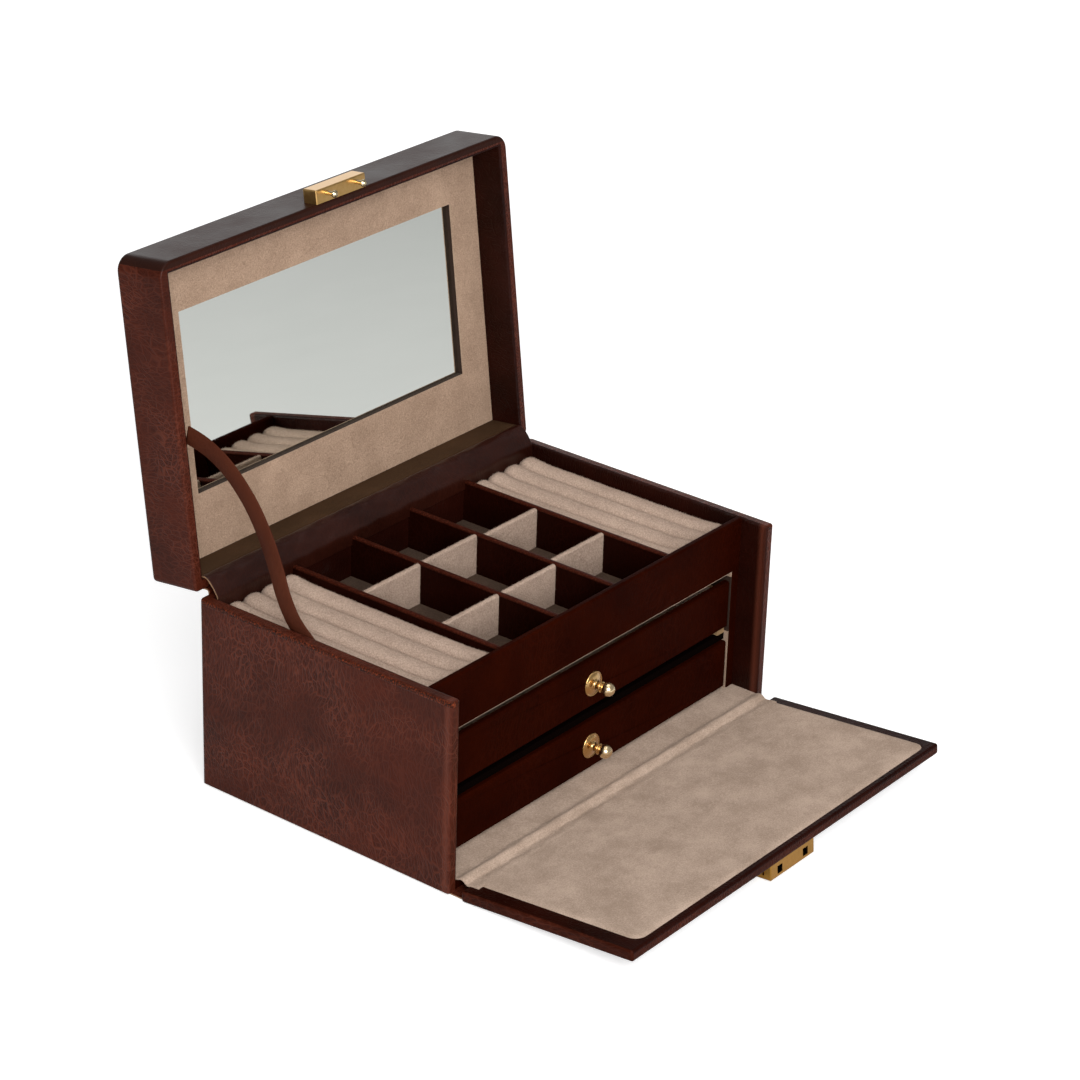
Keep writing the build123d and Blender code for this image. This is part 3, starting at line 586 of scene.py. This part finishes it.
# %% [markdown]
# ## Knobs, turned
# A knob is turned on a lathe in one piece: a ball, a neck with a ring, and a plate with a rolled
# rim, and its shank is riveted over behind the drawer front. So its shape is one outline, of radii
# and heights, carried round an axis. The ball's part of the outline is an arc, and the rest is read
# off as a turner would mark it. The brass is satin under a thick lacquer, so the ball carries one
# broad light and a smaller, whiter one.

# %% Turned knobs
drawer_face = -65.0
ball_radius, ball_height = 3.75, 9.5
shank_end = -4.7
knob_turns = 56
arc = [math.radians(a) for a in range(12, 149, 8)]
ball = [(ball_radius * math.sin(a), ball_height + ball_radius * math.cos(a)) for a in arc]
neck = [
    (2.05, 6.2), (2.6, 6.12), (2.95, 5.9), (3.0, 5.7), (2.95, 5.5), (2.6, 5.28), (2.05, 5.15), (1.85, 4.8),
    (1.8, 4.0), (1.85, 3.2), (2.1, 2.5),
]
plate = [
    (2.6, 2.0), (3.3, 1.72), (4.2, 1.5), (5.1, 1.2), (5.7, 0.85), (5.95, 0.72), (6.1, 0.85), (6.3, 0.92),
    (6.55, 0.82), (6.72, 0.55), (6.75, 0.25), (6.75, 0.0),
]
shank = [(1.2, 0.0), (1.2, -4.0), (2.6, -4.0), (2.6, -4.4), (2.3, shank_end)]


def turned_knob(name, height):
    """A knob turned from its outline, with its plate on the drawer front and its axis at a height in mm."""
    shape = bmesh.new()
    angles = [2 * math.pi * t / knob_turns for t in range(knob_turns)]
    rings = []
    for radius, out in ball + neck + plate + shank:
        ring = [(radius * math.cos(a), drawer_face - out, height + radius * math.sin(a)) for a in angles]
        rings.append([shape.verts.new(Vector(p) * mm) for p in ring])
    ends = (ball_height + ball_radius, shank_end)
    skin_over(shape, rings, [Vector((0, drawer_face - end, height)) * mm for end in ends])
    return as_mesh(shape, name)


for drawer, height in (("upper_drawer", 57.6), ("lower_drawer", 22.1)):
    knob = plain_piece(f"{drawer}_turned_knob", turned_knob(drawer, height), satin_brass, drawer)
    knob.data.set_sharp_from_angle(angle=sharp)
    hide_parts(f"{drawer}_knob")
    print(knob.name, in_mm(knob), "mm")

# %% [markdown]
# ## One ring roll, stuffed
# A roll is a foam rod in a velour sleeve, glued down and tucked in at both ends. Cloth simulation
# does what the foam does: it presses the sleeve outward while its foot and its ends are held, and
# the sleeve is a little slack, so it dimples. A point may not leave the room that a roll has
# between its neighbours. So the sides press flat on each other and the grooves between stay narrow.
# The simulation works best on things the size of a cushion, so the roll is made 25 times as large
# and brought back to its size afterwards.

# %% Stuffed roll
large = 25.0
foam_pressure = 4.0
slack = -0.035
farthest_push = 1.4 * mm
squareness = 3.4
tucked_over = 5 * mm


def sleeve_mesh(width, height, length):
    """A velour sleeve along Y, round and a little square, drawn in at both ends, at its large size."""
    around, along = 26, 64
    shape = bmesh.new()
    rings = []
    for r in range(along + 1):
        y = (r / along - 0.5) * length
        near = (length / 2 - abs(y)) / tucked_over
        drawn = 1 - 0.28 * max(0, 1 - near) ** 2
        ring = []
        for a in range(around):
            angle = 2 * math.pi * (a + 0.5) / around
            c, s = math.cos(angle), math.sin(angle)
            square = (abs(c) ** squareness + abs(s) ** squareness) ** (-1 / squareness)
            x = c * square * drawn * 0.92 * width / 2
            z = (1 + s * square * drawn * 0.95) * height / 2
            ring.append(shape.verts.new((x * large, y * large, z * large)))
        rings.append(ring)
    skin_over(shape, rings, [(0, y * large, height / 2 * large) for y in (-length / 2, length / 2)])
    return as_mesh(shape, "roll_sleeve")


def swelled(mesh, foot, end):
    """A sleeve pressed outward as cloth, held below its foot line and past its end line."""
    sleeve = placed("roll_sleeve", mesh)
    held = sleeve.vertex_groups.new(name="held")
    held.add([v.index for v in mesh.vertices if v.co.z < foot or abs(v.co.y) > end], 1.0, "REPLACE")
    cloth = sleeve.modifiers.new("cloth", "CLOTH")
    cloth.settings.vertex_group_mass = "held"
    cloth.settings.use_pressure = True
    cloth.settings.uniform_pressure_force = foam_pressure
    cloth.settings.shrink_min = slack
    cloth.settings.effector_weights.gravity = 0.0
    cloth.collision_settings.use_collision = False
    for moment in range(1, 21):
        bpy.context.scene.frame_set(moment)
    pressed = evaluated_mesh(sleeve)
    bpy.context.scene.frame_set(1)
    bpy.data.objects.remove(sleeve)
    for start, point in zip(mesh.vertices, pressed.vertices):
        way = point.co - start.co
        if way.length > farthest_push * large:
            point.co = start.co + way.normalized() * farthest_push * large
    return pressed


def stuffed_roll(width, height, length):
    """A velour roll along Y, centred on its foot, swelled inside its room and smoothed."""
    mesh = sleeve_mesh(width, height, length)
    mesh = swelled(mesh, 0.14 * height * large, length / 2 * large * 0.995)
    for point in mesh.vertices:
        x, y, z = point.co / large
        x = max(-width / 2, min(width / 2, x))
        y = max(-length / 2, min(length / 2, y))
        point.co = (x, y, max(0.0, min(height, z)))
    smoothed = placed("roll_smoothed", mesh)
    finer = smoothed.modifiers.new("finer", "SUBSURF")
    finer.levels = 1
    finer.render_levels = 1
    mesh = evaluated_mesh(smoothed)
    bpy.data.objects.remove(smoothed)
    return mesh


bay_start = 69.3 * mm
bay_floor = 79.2 * mm
bay_middle = 7.0 * mm
roll_length = 135.2 * mm
roll_pitch = (inner_half - 2.0 * mm - bay_start) / 4
roll_height = rim - 3.6 * mm - bay_floor
one_roll = stuffed_roll(roll_pitch - 0.06 * mm, roll_height, roll_length)
widest = round(max(v.co.x for v in one_roll.vertices) * 2 / mm, 2)
print("one roll", len(one_roll.polygons), "faces,", widest, "mm wide of", round(roll_pitch / mm, 2))

# %% [markdown]
# ## Node trees that make pieces
# What repeats or follows a path is set out by Geometry Nodes. Each tree has named inputs, turns its
# copies into real faces and gives them their finish. What it makes is then kept as a plain mesh.

# %% Tree helpers


def new_tree(name, inputs):
    """A geometry tree with named inputs of given kinds and a finish, and the sockets that give them."""
    tree = bpy.data.node_groups.new(name, "GeometryNodeTree")
    tree.interface.new_socket("Geometry", in_out="OUTPUT", socket_type="NodeSocketGeometry")
    for label, kind in {**inputs, "Finish": "Material"}.items():
        tree.interface.new_socket(label, in_out="INPUT", socket_type="NodeSocket" + kind)
    return tree, add(tree, "NodeGroupInput").outputs


def end_tree(tree, geometry, finish):
    """Makes a tree's geometry real, gives it its finish and hands it out."""
    real = add(tree, "GeometryNodeRealizeInstances", {"Geometry": geometry})
    finished = add(tree, "GeometryNodeSetMaterial", {"Geometry": real, "Material": finish})
    add(tree, "NodeGroupOutput", {"Geometry": finished})
    return tree


def socket_id(tree, name):
    """The identifier of a tree's named input."""
    return next(s.identifier for s in tree.interface.items_tree if s.name == name and s.in_out == "INPUT")


def from_tree(name, tree, values, finish, body=None, ground=None):
    """Runs a tree with its inputs set, on a mesh if one is given, and keeps the result as a plain piece."""
    holder = placed(name + "_maker", ground.copy() if ground else bpy.data.meshes.new(name + "_maker"))
    maker = holder.modifiers.new("maker", "NODES")
    maker.node_group = tree
    for key, value in {**values, "Finish": finish}.items():
        maker[socket_id(tree, key)] = value
    mesh = evaluated_mesh(holder)
    bpy.data.objects.remove(holder)
    mesh.name = name
    return plain_piece(name, mesh, finish, body)


print("tree helpers ready")

# %% [markdown]
# ## Four rolls on each side
# The rolls lie side by side in each outer bay, and a ring is pushed down between two of them. They
# repeat, so a node tree sets them out at a pitch. It turns every other one end for end, and a slow
# noise makes each a little uneven, so that no two are alike.

# %% Ring rolls


def roll_tree():
    """A row of a given roll at a pitch, every other one turned end for end, and all a little uneven."""
    inputs = {"Roll": "Geometry", "Pitch": "Float", "Unevenness": "Float", "First": "Vector", "Count": "Int"}
    tree, given = new_tree("ring_rolls", {**inputs, "Seed": "Int"})
    step = add(tree, "ShaderNodeCombineXYZ", {"X": given["Pitch"]})
    row = {"Count": given["Count"], "Start Location": given["First"], "Offset": step}
    places = add(tree, "GeometryNodeMeshLine", row)
    number = add(tree, "GeometryNodeInputIndex")
    every_other = add(tree, "ShaderNodeMath", {0: number, 1: 2.0}, operation="MODULO")
    half_turn = add(tree, "ShaderNodeMath", {0: every_other, 1: math.pi}, operation="MULTIPLY")
    turn = add(tree, "FunctionNodeEulerToRotation", {0: add(tree, "ShaderNodeCombineXYZ", {"Z": half_turn})})
    laying = {"Points": places, "Instance": given["Roll"], "Rotation": turn}
    laid = add(tree, "GeometryNodeInstanceOnPoints", laying)
    real = add(tree, "GeometryNodeRealizeInstances", {"Geometry": laid})
    where = add(tree, "GeometryNodeInputPosition")
    moved = add(tree, "ShaderNodeVectorMath", {0: where, 1: (3.0, 0.45, 1.0)}, operation="MULTIPLY")
    seeded = add(tree, "ShaderNodeMath", {0: given["Seed"], 1: 7.3}, operation="MULTIPLY")
    slow = {"Vector": moved, "W": seeded, "Scale": 90.0, "Detail": 2.0}
    wander = add(tree, "ShaderNodeTexNoise", slow, noise_dimensions="4D")
    offset = add(tree, "ShaderNodeMath", {0: wander, 1: 0.75}, operation="SUBTRACT")
    offset = add(tree, "ShaderNodeMath", {0: offset, 1: given["Unevenness"]}, operation="MULTIPLY")
    normal = add(tree, "GeometryNodeInputNormal")
    outward = add(tree, "ShaderNodeVectorMath", {0: normal, "Scale": offset}, operation="SCALE")
    soft = add(tree, "GeometryNodeSetPosition", {"Geometry": real, "Offset": outward})
    return end_tree(tree, soft, given["Finish"])


rolls_made_by = roll_tree()
nearest = bay_start + roll_pitch / 2
for side, seed, start_x in (("left", 3, -nearest - 3 * roll_pitch), ("right", 8, nearest)):
    values = {"Pitch": roll_pitch, "Count": 4, "Seed": seed, "Unevenness": 0.4 * mm}
    values["First"] = (start_x, bay_middle, bay_floor)
    rolls = from_tree(f"{side}_rolls", rolls_made_by, values, roll_velour, "case", one_roll)
    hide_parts(f"{side}_ring_rolls")
    print(side, "rolls", len(rolls.data.polygons), "faces", in_mm(rolls), "mm")

# %% [markdown]
# ## Strips that bend at a hinge
# Leather and velour cross both hinges. Each is a strip whose section follows a line across the
# hinge, so one function sweeps a section along X. It also lets the surface swell and crease a
# little from place to place, which is what tells the eye that it isn't a board.

# %% Strip maker


def smooth_line(points, steps):
    """A smooth line through (y, z) points in millimetres, as evenly counted points in metres."""
    padded = [points[0]] + list(points) + [points[-1]]
    line = []
    for i in range(len(points) - 1):
        a, b, c, d = (Vector(p) for p in padded[i:i + 4])
        ahead, bend, twist = c - a, 2 * a - 5 * b + 4 * c - d, 3 * b - a - 3 * c + d
        for s in range(steps):
            t = s / steps
            line.append(0.5 * (2 * b + ahead * t + bend * t**2 + twist * t**3) * mm)
    line.append(Vector(points[-1]) * mm)
    return line


def strip(name, points, thickness, reach, finish, swell=0.0, sink=0.0, steps=8, columns=160):
    """A strip of sheet along X, as far as its reach each way, whose section follows a smooth line.
    Its surface swells, and its pale cut ends may sink a little."""
    line = smooth_line(points, steps)
    shape = bmesh.new()
    rows = []
    for c in range(columns + 1):
        x = -reach + 2 * reach * c / columns
        row = []
        for r, p in enumerate(line):
            ahead = line[min(r + 1, len(line) - 1)] - line[max(r - 1, 0)]
            normal = Vector((-ahead.y, ahead.x)).normalized()
            share = math.sin(math.pi * r / (len(line) - 1))
            wave = math.sin(x * 310 + 1.3 * math.sin(x * 97)) * math.sin(x * 121 + r * 0.35)
            near_end = max(0, 1 - min(c, columns - c) / 5) ** 2
            q = p + normal * swell * share * wave
            row.append(shape.verts.new((x, q.x, q.y - sink * near_end)))
        rows.append(row)
    for a, b in zip(rows[:-1], rows[1:]):
        for i in range(len(a) - 1):
            shape.faces.new((a[i], a[i + 1], b[i + 1], b[i]))
    piece = plain_piece(name, as_mesh(shape, name, outward=False), finish)
    wall = piece.modifiers.new("wall", "SOLIDIFY")
    wall.thickness = thickness
    wall.offset = 0
    soft = piece.modifiers.new("soft", "BEVEL")
    soft.width = thickness * 0.3
    soft.segments = 2
    soft.limit_method = "ANGLE"
    solid = evaluated_mesh(piece)
    piece.modifiers.clear()
    piece.data = solid
    upright = bmesh.new()
    upright.from_mesh(solid)
    bmesh.ops.recalc_face_normals(upright, faces=upright.faces)
    upright.to_mesh(solid)
    upright.free()
    solid.materials.append(cut_edge)
    for face in solid.polygons:
        if abs(face.normal.x) > 0.8 and reach - abs(face.center.x) < thickness:
            face.material_index = 1
    return piece


print("a smooth line of", len(smooth_line([(0, 0), (1, 1), (2, 0)], 8)), "points")

# %% [markdown]
# ## The lid's leather hinge
# Inside, a strip of lining leather starts on the lid's back wall, bulges over the gap and runs down inside
# the tray. Outside, the spine leather does the same. Both bend about the hinge line, drawn where the lid
# stands open. A thin skin lines the lid's back wall.

# %% Lid hinge leathers
lining_line = [
    (86.3, 112.2), (85.0, 113.1), (83.2, 113.4), (81.0, 112.5), (78.4, 110.1), (76.2, 107.2), (74.7, 104.4),
    (74.5, 98.0),
]
lining = strip("hinge_lining", lining_line, sheet, inner_half - 0.6 * mm, hinge_leather, swell=0.28 * mm)
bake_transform(lining)
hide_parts("hinge_lining_leather")
spine_line = [
    (81.6, 91.5), (81.6, 98.0), (81.7, 103.0), (82.3, 105.6), (84.6, 106.1), (90.0, 105.3), (97.0, 104.5),
]
spine = strip("hinge_spine", spine_line, sheet, half_width - 8 * mm, plain_leather, swell=0.12 * mm)
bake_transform(spine)
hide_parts("hinge_spine_leather")
wall_line = [on_open_lid((0, 74.85, z)).yz / mm for z in (107.2, 112.0, 118.0, 125.3)]
back_lining = strip(
    "lid_back_lining", wall_line, 0.25 * mm, inner_half - 0.2 * mm, olive_lining, swell=0.08 * mm
)
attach(back_lining, "lid")
print("hinge leathers", in_mm(lining), in_mm(spine), in_mm(back_lining), "mm")

# %% [markdown]
# ## The strap
# A flat strap on its edge runs from the lid's left wall down into the tray. It bends in its own
# width, so it takes a slow curve, not a hard angle. Its section is a flat with worn corners.

# %% Strap
route = [
    (93.5, 187.0), (80.0, 184.0), (66.0, 176.5), (52.5, 163.5), (42.5, 148.0), (35.8, 133.0), (31.0, 120.0),
    (24.0, 108.5), (12.0, 98.0), (7.0, 93.0),
]
strap_thickness = 1.2 * mm
half_strap = 5.0 * mm
strap_wall = -inner_half + 0.4 * mm
one_face = [(-1, 0.25), (-0.94, 0.06), (0, 0.0), (0.94, 0.06), (1, 0.25)]
section = one_face + [(across, 1 - depth) for across, depth in reversed(one_face)]
line = smooth_line(route, 10)
shape = bmesh.new()
rings = []
for r, p in enumerate(line):
    ahead = (line[min(r + 1, len(line) - 1)] - line[max(r - 1, 0)]).normalized()
    normal = Vector((-ahead.y, ahead.x))
    ring = []
    for across, depth in section:
        q = p + normal * across * half_strap
        ring.append(shape.verts.new((strap_wall + depth * strap_thickness, q.x, q.y)))
    rings.append(ring)
skin_over(shape, rings)
shape.faces.new(rings[0])
shape.faces.new(rings[-1])
strap = plain_piece("strap", as_mesh(shape, "strap"), strap_leather)
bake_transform(strap)
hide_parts("lid_strap")
print("strap", in_mm(strap), "mm")

# %% [markdown]
# ## The flap's velour hinge and the leather under it
# The floor velour swells in a soft ridge where it leaves the base, dips into the hinge and climbs
# onto the flap. Its ends are tucked down, and no pale cut edge shows there.

# %% Flap hinge
ridge_line = [
    (-78.0, 6.72), (-79.6, 6.84), (-81.2, 7.2), (-82.8, 7.86), (-84.2, 7.86), (-85.8, 6.9), (-87.2, 6.1),
    (-88.8, 6.1), (-91.0, 6.62), (-92.8, 6.9), (-94.4, 6.9),
]
ridge = strip(
    "flap_hinge_ridge", ridge_line, sheet, inner_half - 0.2 * mm, taupe_velour,
    swell=0.12 * mm, sink=0.15 * mm,
)
for face in ridge.data.polygons:
    face.material_index = 0
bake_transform(ridge)
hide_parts("flap_hinge_velour")
under_line = [(-79.2, 0.6), (-83.0, 0.6), (-86.5, 0.6), (-88.5, 0.7)]
under = strip("flap_hinge_under", under_line, 0.8 * mm, half_width - 2 * mm, plain_leather)
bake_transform(under)
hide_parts("flap_hinge_leather")
print("flap hinge", in_mm(ridge), in_mm(under), "mm")

# %% [markdown]
# ## The flap's padded face
# A thin sheet of foam under velour, with rounded outer corners. Its edge rolls down to the leather
# and its face isn't quite flat. Towards the hinge it doesn't roll down: there the velour runs on
# into the ridge. It is a grid of points: each knows how far it is from the edge, and rises by that.

# %% Flap pad
pad_x = (-120.5, 123.4)
pad_z = (7.8, 102.0)
pad_corner = 6.0
pad_roll = 3.2
pad_rise = 0.80
pad_ground = -81.3
pad_columns, pad_rows = 150, 62


def edge_distance(u, v, low_u, high_u, low_v, high_v, radius):
    """How far a point is inside a rectangle with rounded corners."""
    middle_u, middle_v = (low_u + high_u) / 2, (low_v + high_v) / 2
    du = abs(u - middle_u) - ((high_u - low_u) / 2 - radius)
    dv = abs(v - middle_v) - ((high_v - low_v) / 2 - radius)
    outside = math.hypot(max(du, 0), max(dv, 0))
    return radius - outside - min(max(du, dv), 0)


def pad_point(u, v):
    """A point of the pad's face, drawn in to the rounded outline, and how high it rises."""
    inside_by = edge_distance(u, v, *pad_x, -pad_z[1], pad_z[1], pad_corner)
    if inside_by < 0:
        side = pad_x[0] + pad_corner if u < 0 else pad_x[1] - pad_corner
        centre = Vector((side, pad_z[1] - pad_corner))
        u, v = centre + (Vector((u, v)) - centre).normalized() * pad_corner
        inside_by = 0.0
    rise = 1 - (1 - min(inside_by / pad_roll, 1)) ** 2.2
    wave = 0.06 * math.sin(u * 0.09 + 2 * math.sin(v * 0.05)) * math.sin((v - pad_z[0]) * 0.13)
    return u, v, (pad_rise + wave) * rise


pad_length = pad_z[1] - pad_z[0]
heights = [pad_z[0], pad_z[0] + 0.1] + [pad_z[0] + pad_length * r / pad_rows for r in range(1, pad_rows + 1)]
shape = bmesh.new()
grid = {}
for c in range(pad_columns + 1):
    for r, height in enumerate(heights):
        u, v, thick = pad_point(pad_x[0] + (pad_x[1] - pad_x[0]) * c / pad_columns, height)
        grid[c, r] = shape.verts.new(on_open_flap((u, pad_ground + (thick if r else 0.0), v)))
for c in range(pad_columns):
    for r in range(len(heights) - 1):
        shape.faces.new([grid[c, r], grid[c, r + 1], grid[c + 1, r + 1], grid[c + 1, r]])
bmesh.ops.remove_doubles(shape, verts=shape.verts, dist=0.02 * mm)
bmesh.ops.holes_fill(shape, edges=[edge for edge in shape.edges if edge.is_boundary])
pad = plain_piece("flap_pad", as_mesh(shape, "flap_pad"), taupe_velour, "flap")
pad.data.set_sharp_from_angle(angle=sharp)
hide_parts("flap_velour_pad")
print("flap pad", len(pad.data.polygons), "faces")

# %% [markdown]
# ## Loose pile, by Geometry Nodes
# A velour's outline is never clean: the ends of the pile stand out against the dark leather. So
# tiny tapered fibres are scattered over the velour, leaning every way. They are 0.35 to 0.9 mm
# long, and at most 0.16 mm on the flap, where the lower drawer passes just above. Real pile is finer
# and denser: this is only as much of it as the eye can part.

# %% Pile tree


def pile_tree():
    """Short tapered fibres scattered over the faces of a mesh that look a given way."""
    inputs = {name: "Float" for name in ("Per Square Metre", "Fibre Length", "Fibre Radius", "Least Facing")}
    tree, given = new_tree("loose_pile", {"Ground": "Geometry", **inputs, "Facing": "Vector", "Seed": "Int"})
    seed = given["Seed"]
    normal = add(tree, "GeometryNodeInputNormal")
    facing = add(tree, "ShaderNodeVectorMath", {0: normal, 1: given["Facing"]}, operation="DOT_PRODUCT")
    least = {0: facing.outputs["Value"], 1: given["Least Facing"]}
    chosen = add(tree, "FunctionNodeCompare", least, operation="GREATER_THAN")
    roots = add(
        tree,
        "GeometryNodeDistributePointsOnFaces",
        {"Mesh": given["Ground"], "Selection": chosen, "Density": given["Per Square Metre"], "Seed": seed},
    )
    tapered = {"Vertices": 3, "Radius Bottom": given["Fibre Radius"], "Depth": given["Fibre Length"]}
    fibre = add(tree, "GeometryNodeMeshCone", tapered, fill_type="NGON").outputs["Mesh"]
    leaning = {0: (-0.9, -0.9, -3.0), 1: (0.9, 0.9, 3.0), "Seed": seed}
    lean = add(tree, "FunctionNodeRandomValue", leaning, data_type="FLOAT_VECTOR")
    tilt = add(tree, "FunctionNodeEulerToRotation", {0: lean})
    upright = {"Rotation": roots.outputs["Rotation"], "Rotate By": tilt}
    turn = add(tree, "FunctionNodeRotateRotation", upright, rotation_space="LOCAL")
    length = add(tree, "FunctionNodeRandomValue", {2: 0.5, 3: 1.0, "Seed": seed})
    standing = {"Points": roots.outputs["Points"], "Instance": fibre, "Rotation": turn, "Scale": length}
    return end_tree(tree, add(tree, "GeometryNodeInstanceOnPoints", standing), given["Finish"])


pile_made_by = pile_tree()
print("pile tree made")

# %% [markdown]
# ## Pile on each velour part
# The dividers and the rolls stand against dark skin, so their pile is long. Each pile rides on the
# body of the velour that it grows on. A row says what the pile grows on, that body, the way its
# faces look, and how squarely, how many fibres to a square millimetre, how long, and the velour.

# %% Piles
up_way = (0.0, 0.0, 1.0)
lid_way = (0.0, -0.99, 0.12)
piles = {
    "left_rolls_pile": (bpy.data.objects["left_rolls"].data, "case", up_way, -0.1, 2.2, 0.9, roll_velour),
    "right_rolls_pile": (bpy.data.objects["right_rolls"].data, "case", up_way, -0.1, 2.2, 0.9, roll_velour),
    "column_1_pile": (nodes["column_1_dividers"].data, "case", up_way, -0.2, 4.0, 0.9, roll_velour),
    "column_2_pile": (nodes["column_2_dividers"].data, "case", up_way, -0.2, 4.0, 0.9, roll_velour),
    "column_3_pile": (nodes["column_3_dividers"].data, "case", up_way, -0.2, 4.0, 0.9, roll_velour),
    "lid_panel_pile": (nodes["mirror_velour_panel"].data, "lid", lid_way, 0.5, 1.6, 0.7, panel_velour),
    "flap_pad_pile": (bpy.data.objects["flap_pad"].data, "flap", up_way, 0.3, 1.4, 0.16, taupe_velour),
}
for seed, (name, (ground, body, way, least, per_mm2, length, finish)) in enumerate(piles.items()):
    values = {"Facing": way, "Least Facing": least, "Per Square Metre": per_mm2 / mm**2, "Seed": seed}
    values.update({"Fibre Length": length * mm, "Fibre Radius": 0.10 * mm})
    pile = from_tree(name, pile_made_by, values, finish, body, ground)
    print(name, len(pile.data.polygons), "faces")

# %% [markdown]
# ## The lock's spring
# A short coil pushes the latch bar home. It is a spiral, so a node tree draws it. It rides on the bar.

# %% Latch spring


def spring_tree():
    """A coil of round wire along X from a given start."""
    sizes = {name: "Float" for name in ("Radius", "Wire", "Length", "Turns")}
    tree, given = new_tree("coil_spring", {**sizes, "Start": "Vector"})
    spiral = {"Resolution": 18, "Rotations": given["Turns"], "Height": given["Length"]}
    spiral.update({"Start Radius": given["Radius"], "End Radius": given["Radius"]})
    coil = add(tree, "GeometryNodeCurveSpiral", spiral)
    wire = add(tree, "GeometryNodeCurvePrimitiveCircle", {"Resolution": 8, "Radius": given["Wire"]})
    solid = add(tree, "GeometryNodeCurveToMesh", {"Curve": coil, "Profile Curve": wire, "Fill Caps": True})
    along_x = {"Geometry": solid, "Translation": given["Start"], "Rotation": (0, math.radians(90), 0)}
    return end_tree(tree, add(tree, "GeometryNodeTransform", along_x), given["Finish"])


low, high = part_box("latch_spring")
play = 0.25 * mm
spring_start = (low.x + play, (low.y + high.y) / 2, (low.z + high.z) / 2)
values = {"Radius": 1.3 * mm, "Wire": 0.2 * mm, "Length": high.x - low.x - 2 * play, "Turns": 5.0}
values["Start"] = spring_start
spring = from_tree("coil_spring", spring_tree(), values, steel, "latch")
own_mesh(spring)
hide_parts("latch_spring")
print("spring", in_mm(spring), "mm")

# %% [markdown]
# ## The floor
# A pale floor fills the whole frame. Lamps light it nearly to white, and what the camera sees of it
# is lifted the rest of the way, so the shadow stays. The lift is part of the way near the box and
# whole beyond 2.2 m, where the lamps are weak. Mirrors and polish see almost none of it.

# %% Floor
floor_half = 6
corners = [(x * floor_half, y * floor_half, 0) for x, y in ((-1, -1), (1, -1), (1, 1), (-1, 1))]
floor_mesh = bpy.data.meshes.new("floor")
floor_mesh.from_pydata(corners, [], [(0, 1, 2, 3)])
floor = placed("floor", floor_mesh)
paint, tree = new_finish("pale_floor")
rays = add(tree, "ShaderNodeLightPath").outputs
straight = add(
    tree, "ShaderNodeMath", {0: rays["Is Camera Ray"], 1: rays["Is Transmission Ray"]}, operation="MAXIMUM"
)
reach = add(tree, "ShaderNodeVectorMath", {0: in_millimetres(tree)}, operation="LENGTH").outputs["Value"]
far_lift = {"Value": reach, "From Min": 700, "From Max": 2200, "To Min": 0.55, "To Max": 1.0}
far_lift = add(tree, "ShaderNodeMapRange", far_lift)
lift = add(tree, "ShaderNodeMath", {0: straight, 1: far_lift}, operation="MULTIPLY")
lift = add(tree, "ShaderNodeMath", {0: rays["Is Glossy Ray"], 1: 0.03, 2: lift}, operation="MULTIPLY_ADD")
grain = add(tree, "ShaderNodeTexNoise", {"Vector": in_millimetres(tree), "Scale": 0.02})
shine(
    tree,
    {
        "Base Color": layered(tree, "#E9E9E9", (grain, "#EDEDED")),
        "Roughness": 0.9,
        "Specular IOR Level": 0.0,
        "Emission Color": "#FFFFFF",
        "Emission Strength": lift,
    },
)
floor_mesh.materials.append(paint)
print("floor", 2 * floor_half, "m wide")

# %% [markdown]
# ## Lamps and room
# The lamps stand where the photograph's do: a broad key low in front on the left, which leaves the
# floors of the cells in shade, a weak one overhead, and one low behind on the right, whose light
# the lid's top edge and the rims mirror back to the camera as a grey sheen. The room is a soft glow.

# %% Lamps and room
scene = bpy.context.scene
scene.view_settings.view_transform = "Standard"


def lamp(name, place, target, size, watts):
    """A square soft lamp at a place, turned to a target."""
    light = bpy.data.lights.new(name, "AREA")
    light.size = size
    light.energy = watts
    holder = placed(name, light)
    holder.location = place
    holder.rotation_euler = (Vector(target) - Vector(place)).to_track_quat("-Z", "Y").to_euler()


lamp("lamp_key", (-1.15, -1.35, 1.05), (0, 0, 0.08), 1.2, 40)
lamp("lamp_top", (0.1, -0.2, 1.8), (0, 0, 0.05), 1.2, 7)
lamp("lamp_back", (1.4, 1.2, 0.68), (0, 0, 0.12), 1.4, 6)
scene.world = bpy.data.worlds.new("soft_room")
scene.world.use_nodes = True
room = scene.world.node_tree
room.nodes.clear()
straight = add(room, "ShaderNodeLightPath").outputs["Is Camera Ray"]
lift = add(room, "ShaderNodeMath", {0: straight, 1: 0.72, 2: 0.28}, operation="MULTIPLY_ADD")
glow = add(room, "ShaderNodeBackground", {"Color": "#FFFFFF", "Strength": lift})
add(room, "ShaderNodeOutputWorld", {"Surface": glow})
print("three lamps and a soft room")

# %% [markdown]
# ## The camera
# It stands where a fit to the box's corners puts it: 52 degrees round to the left, 26 up, turned by
# under 2 degrees, with a long lens. The fit is in pixels of the photograph.

# %% Camera
photo_width = 1080
focal_length = 3395.85
off_centre = (-1.94, 3.92)
sensor = 36.0
stand = Vector((-1.20107, -0.95968, 0.86363))
azimuth, elevation, roll = (math.radians(v) for v in (-52.26, 25.97, 1.84))
away = Vector((
    math.sin(azimuth) * math.cos(elevation),
    -math.cos(azimuth) * math.cos(elevation),
    math.sin(elevation),
))
right = Vector((0, 0, 1)).cross(away).normalized()
up = away.cross(right)
across = math.cos(roll) * right + math.sin(roll) * up
upward = -math.sin(roll) * right + math.cos(roll) * up
camera = placed("camera", bpy.data.cameras.new("camera"))
camera.matrix_world = Matrix.Translation(stand) @ Matrix((across, upward, away)).transposed().to_4x4()
camera.data.sensor_width = sensor
camera.data.lens = focal_length / photo_width * sensor
camera.data.shift_x, camera.data.shift_y = (v / photo_width for v in off_centre)
camera.data.clip_start = 0.05
camera.data.clip_end = 50
scene.camera = camera
print("lens", round(camera.data.lens, 1), "mm")
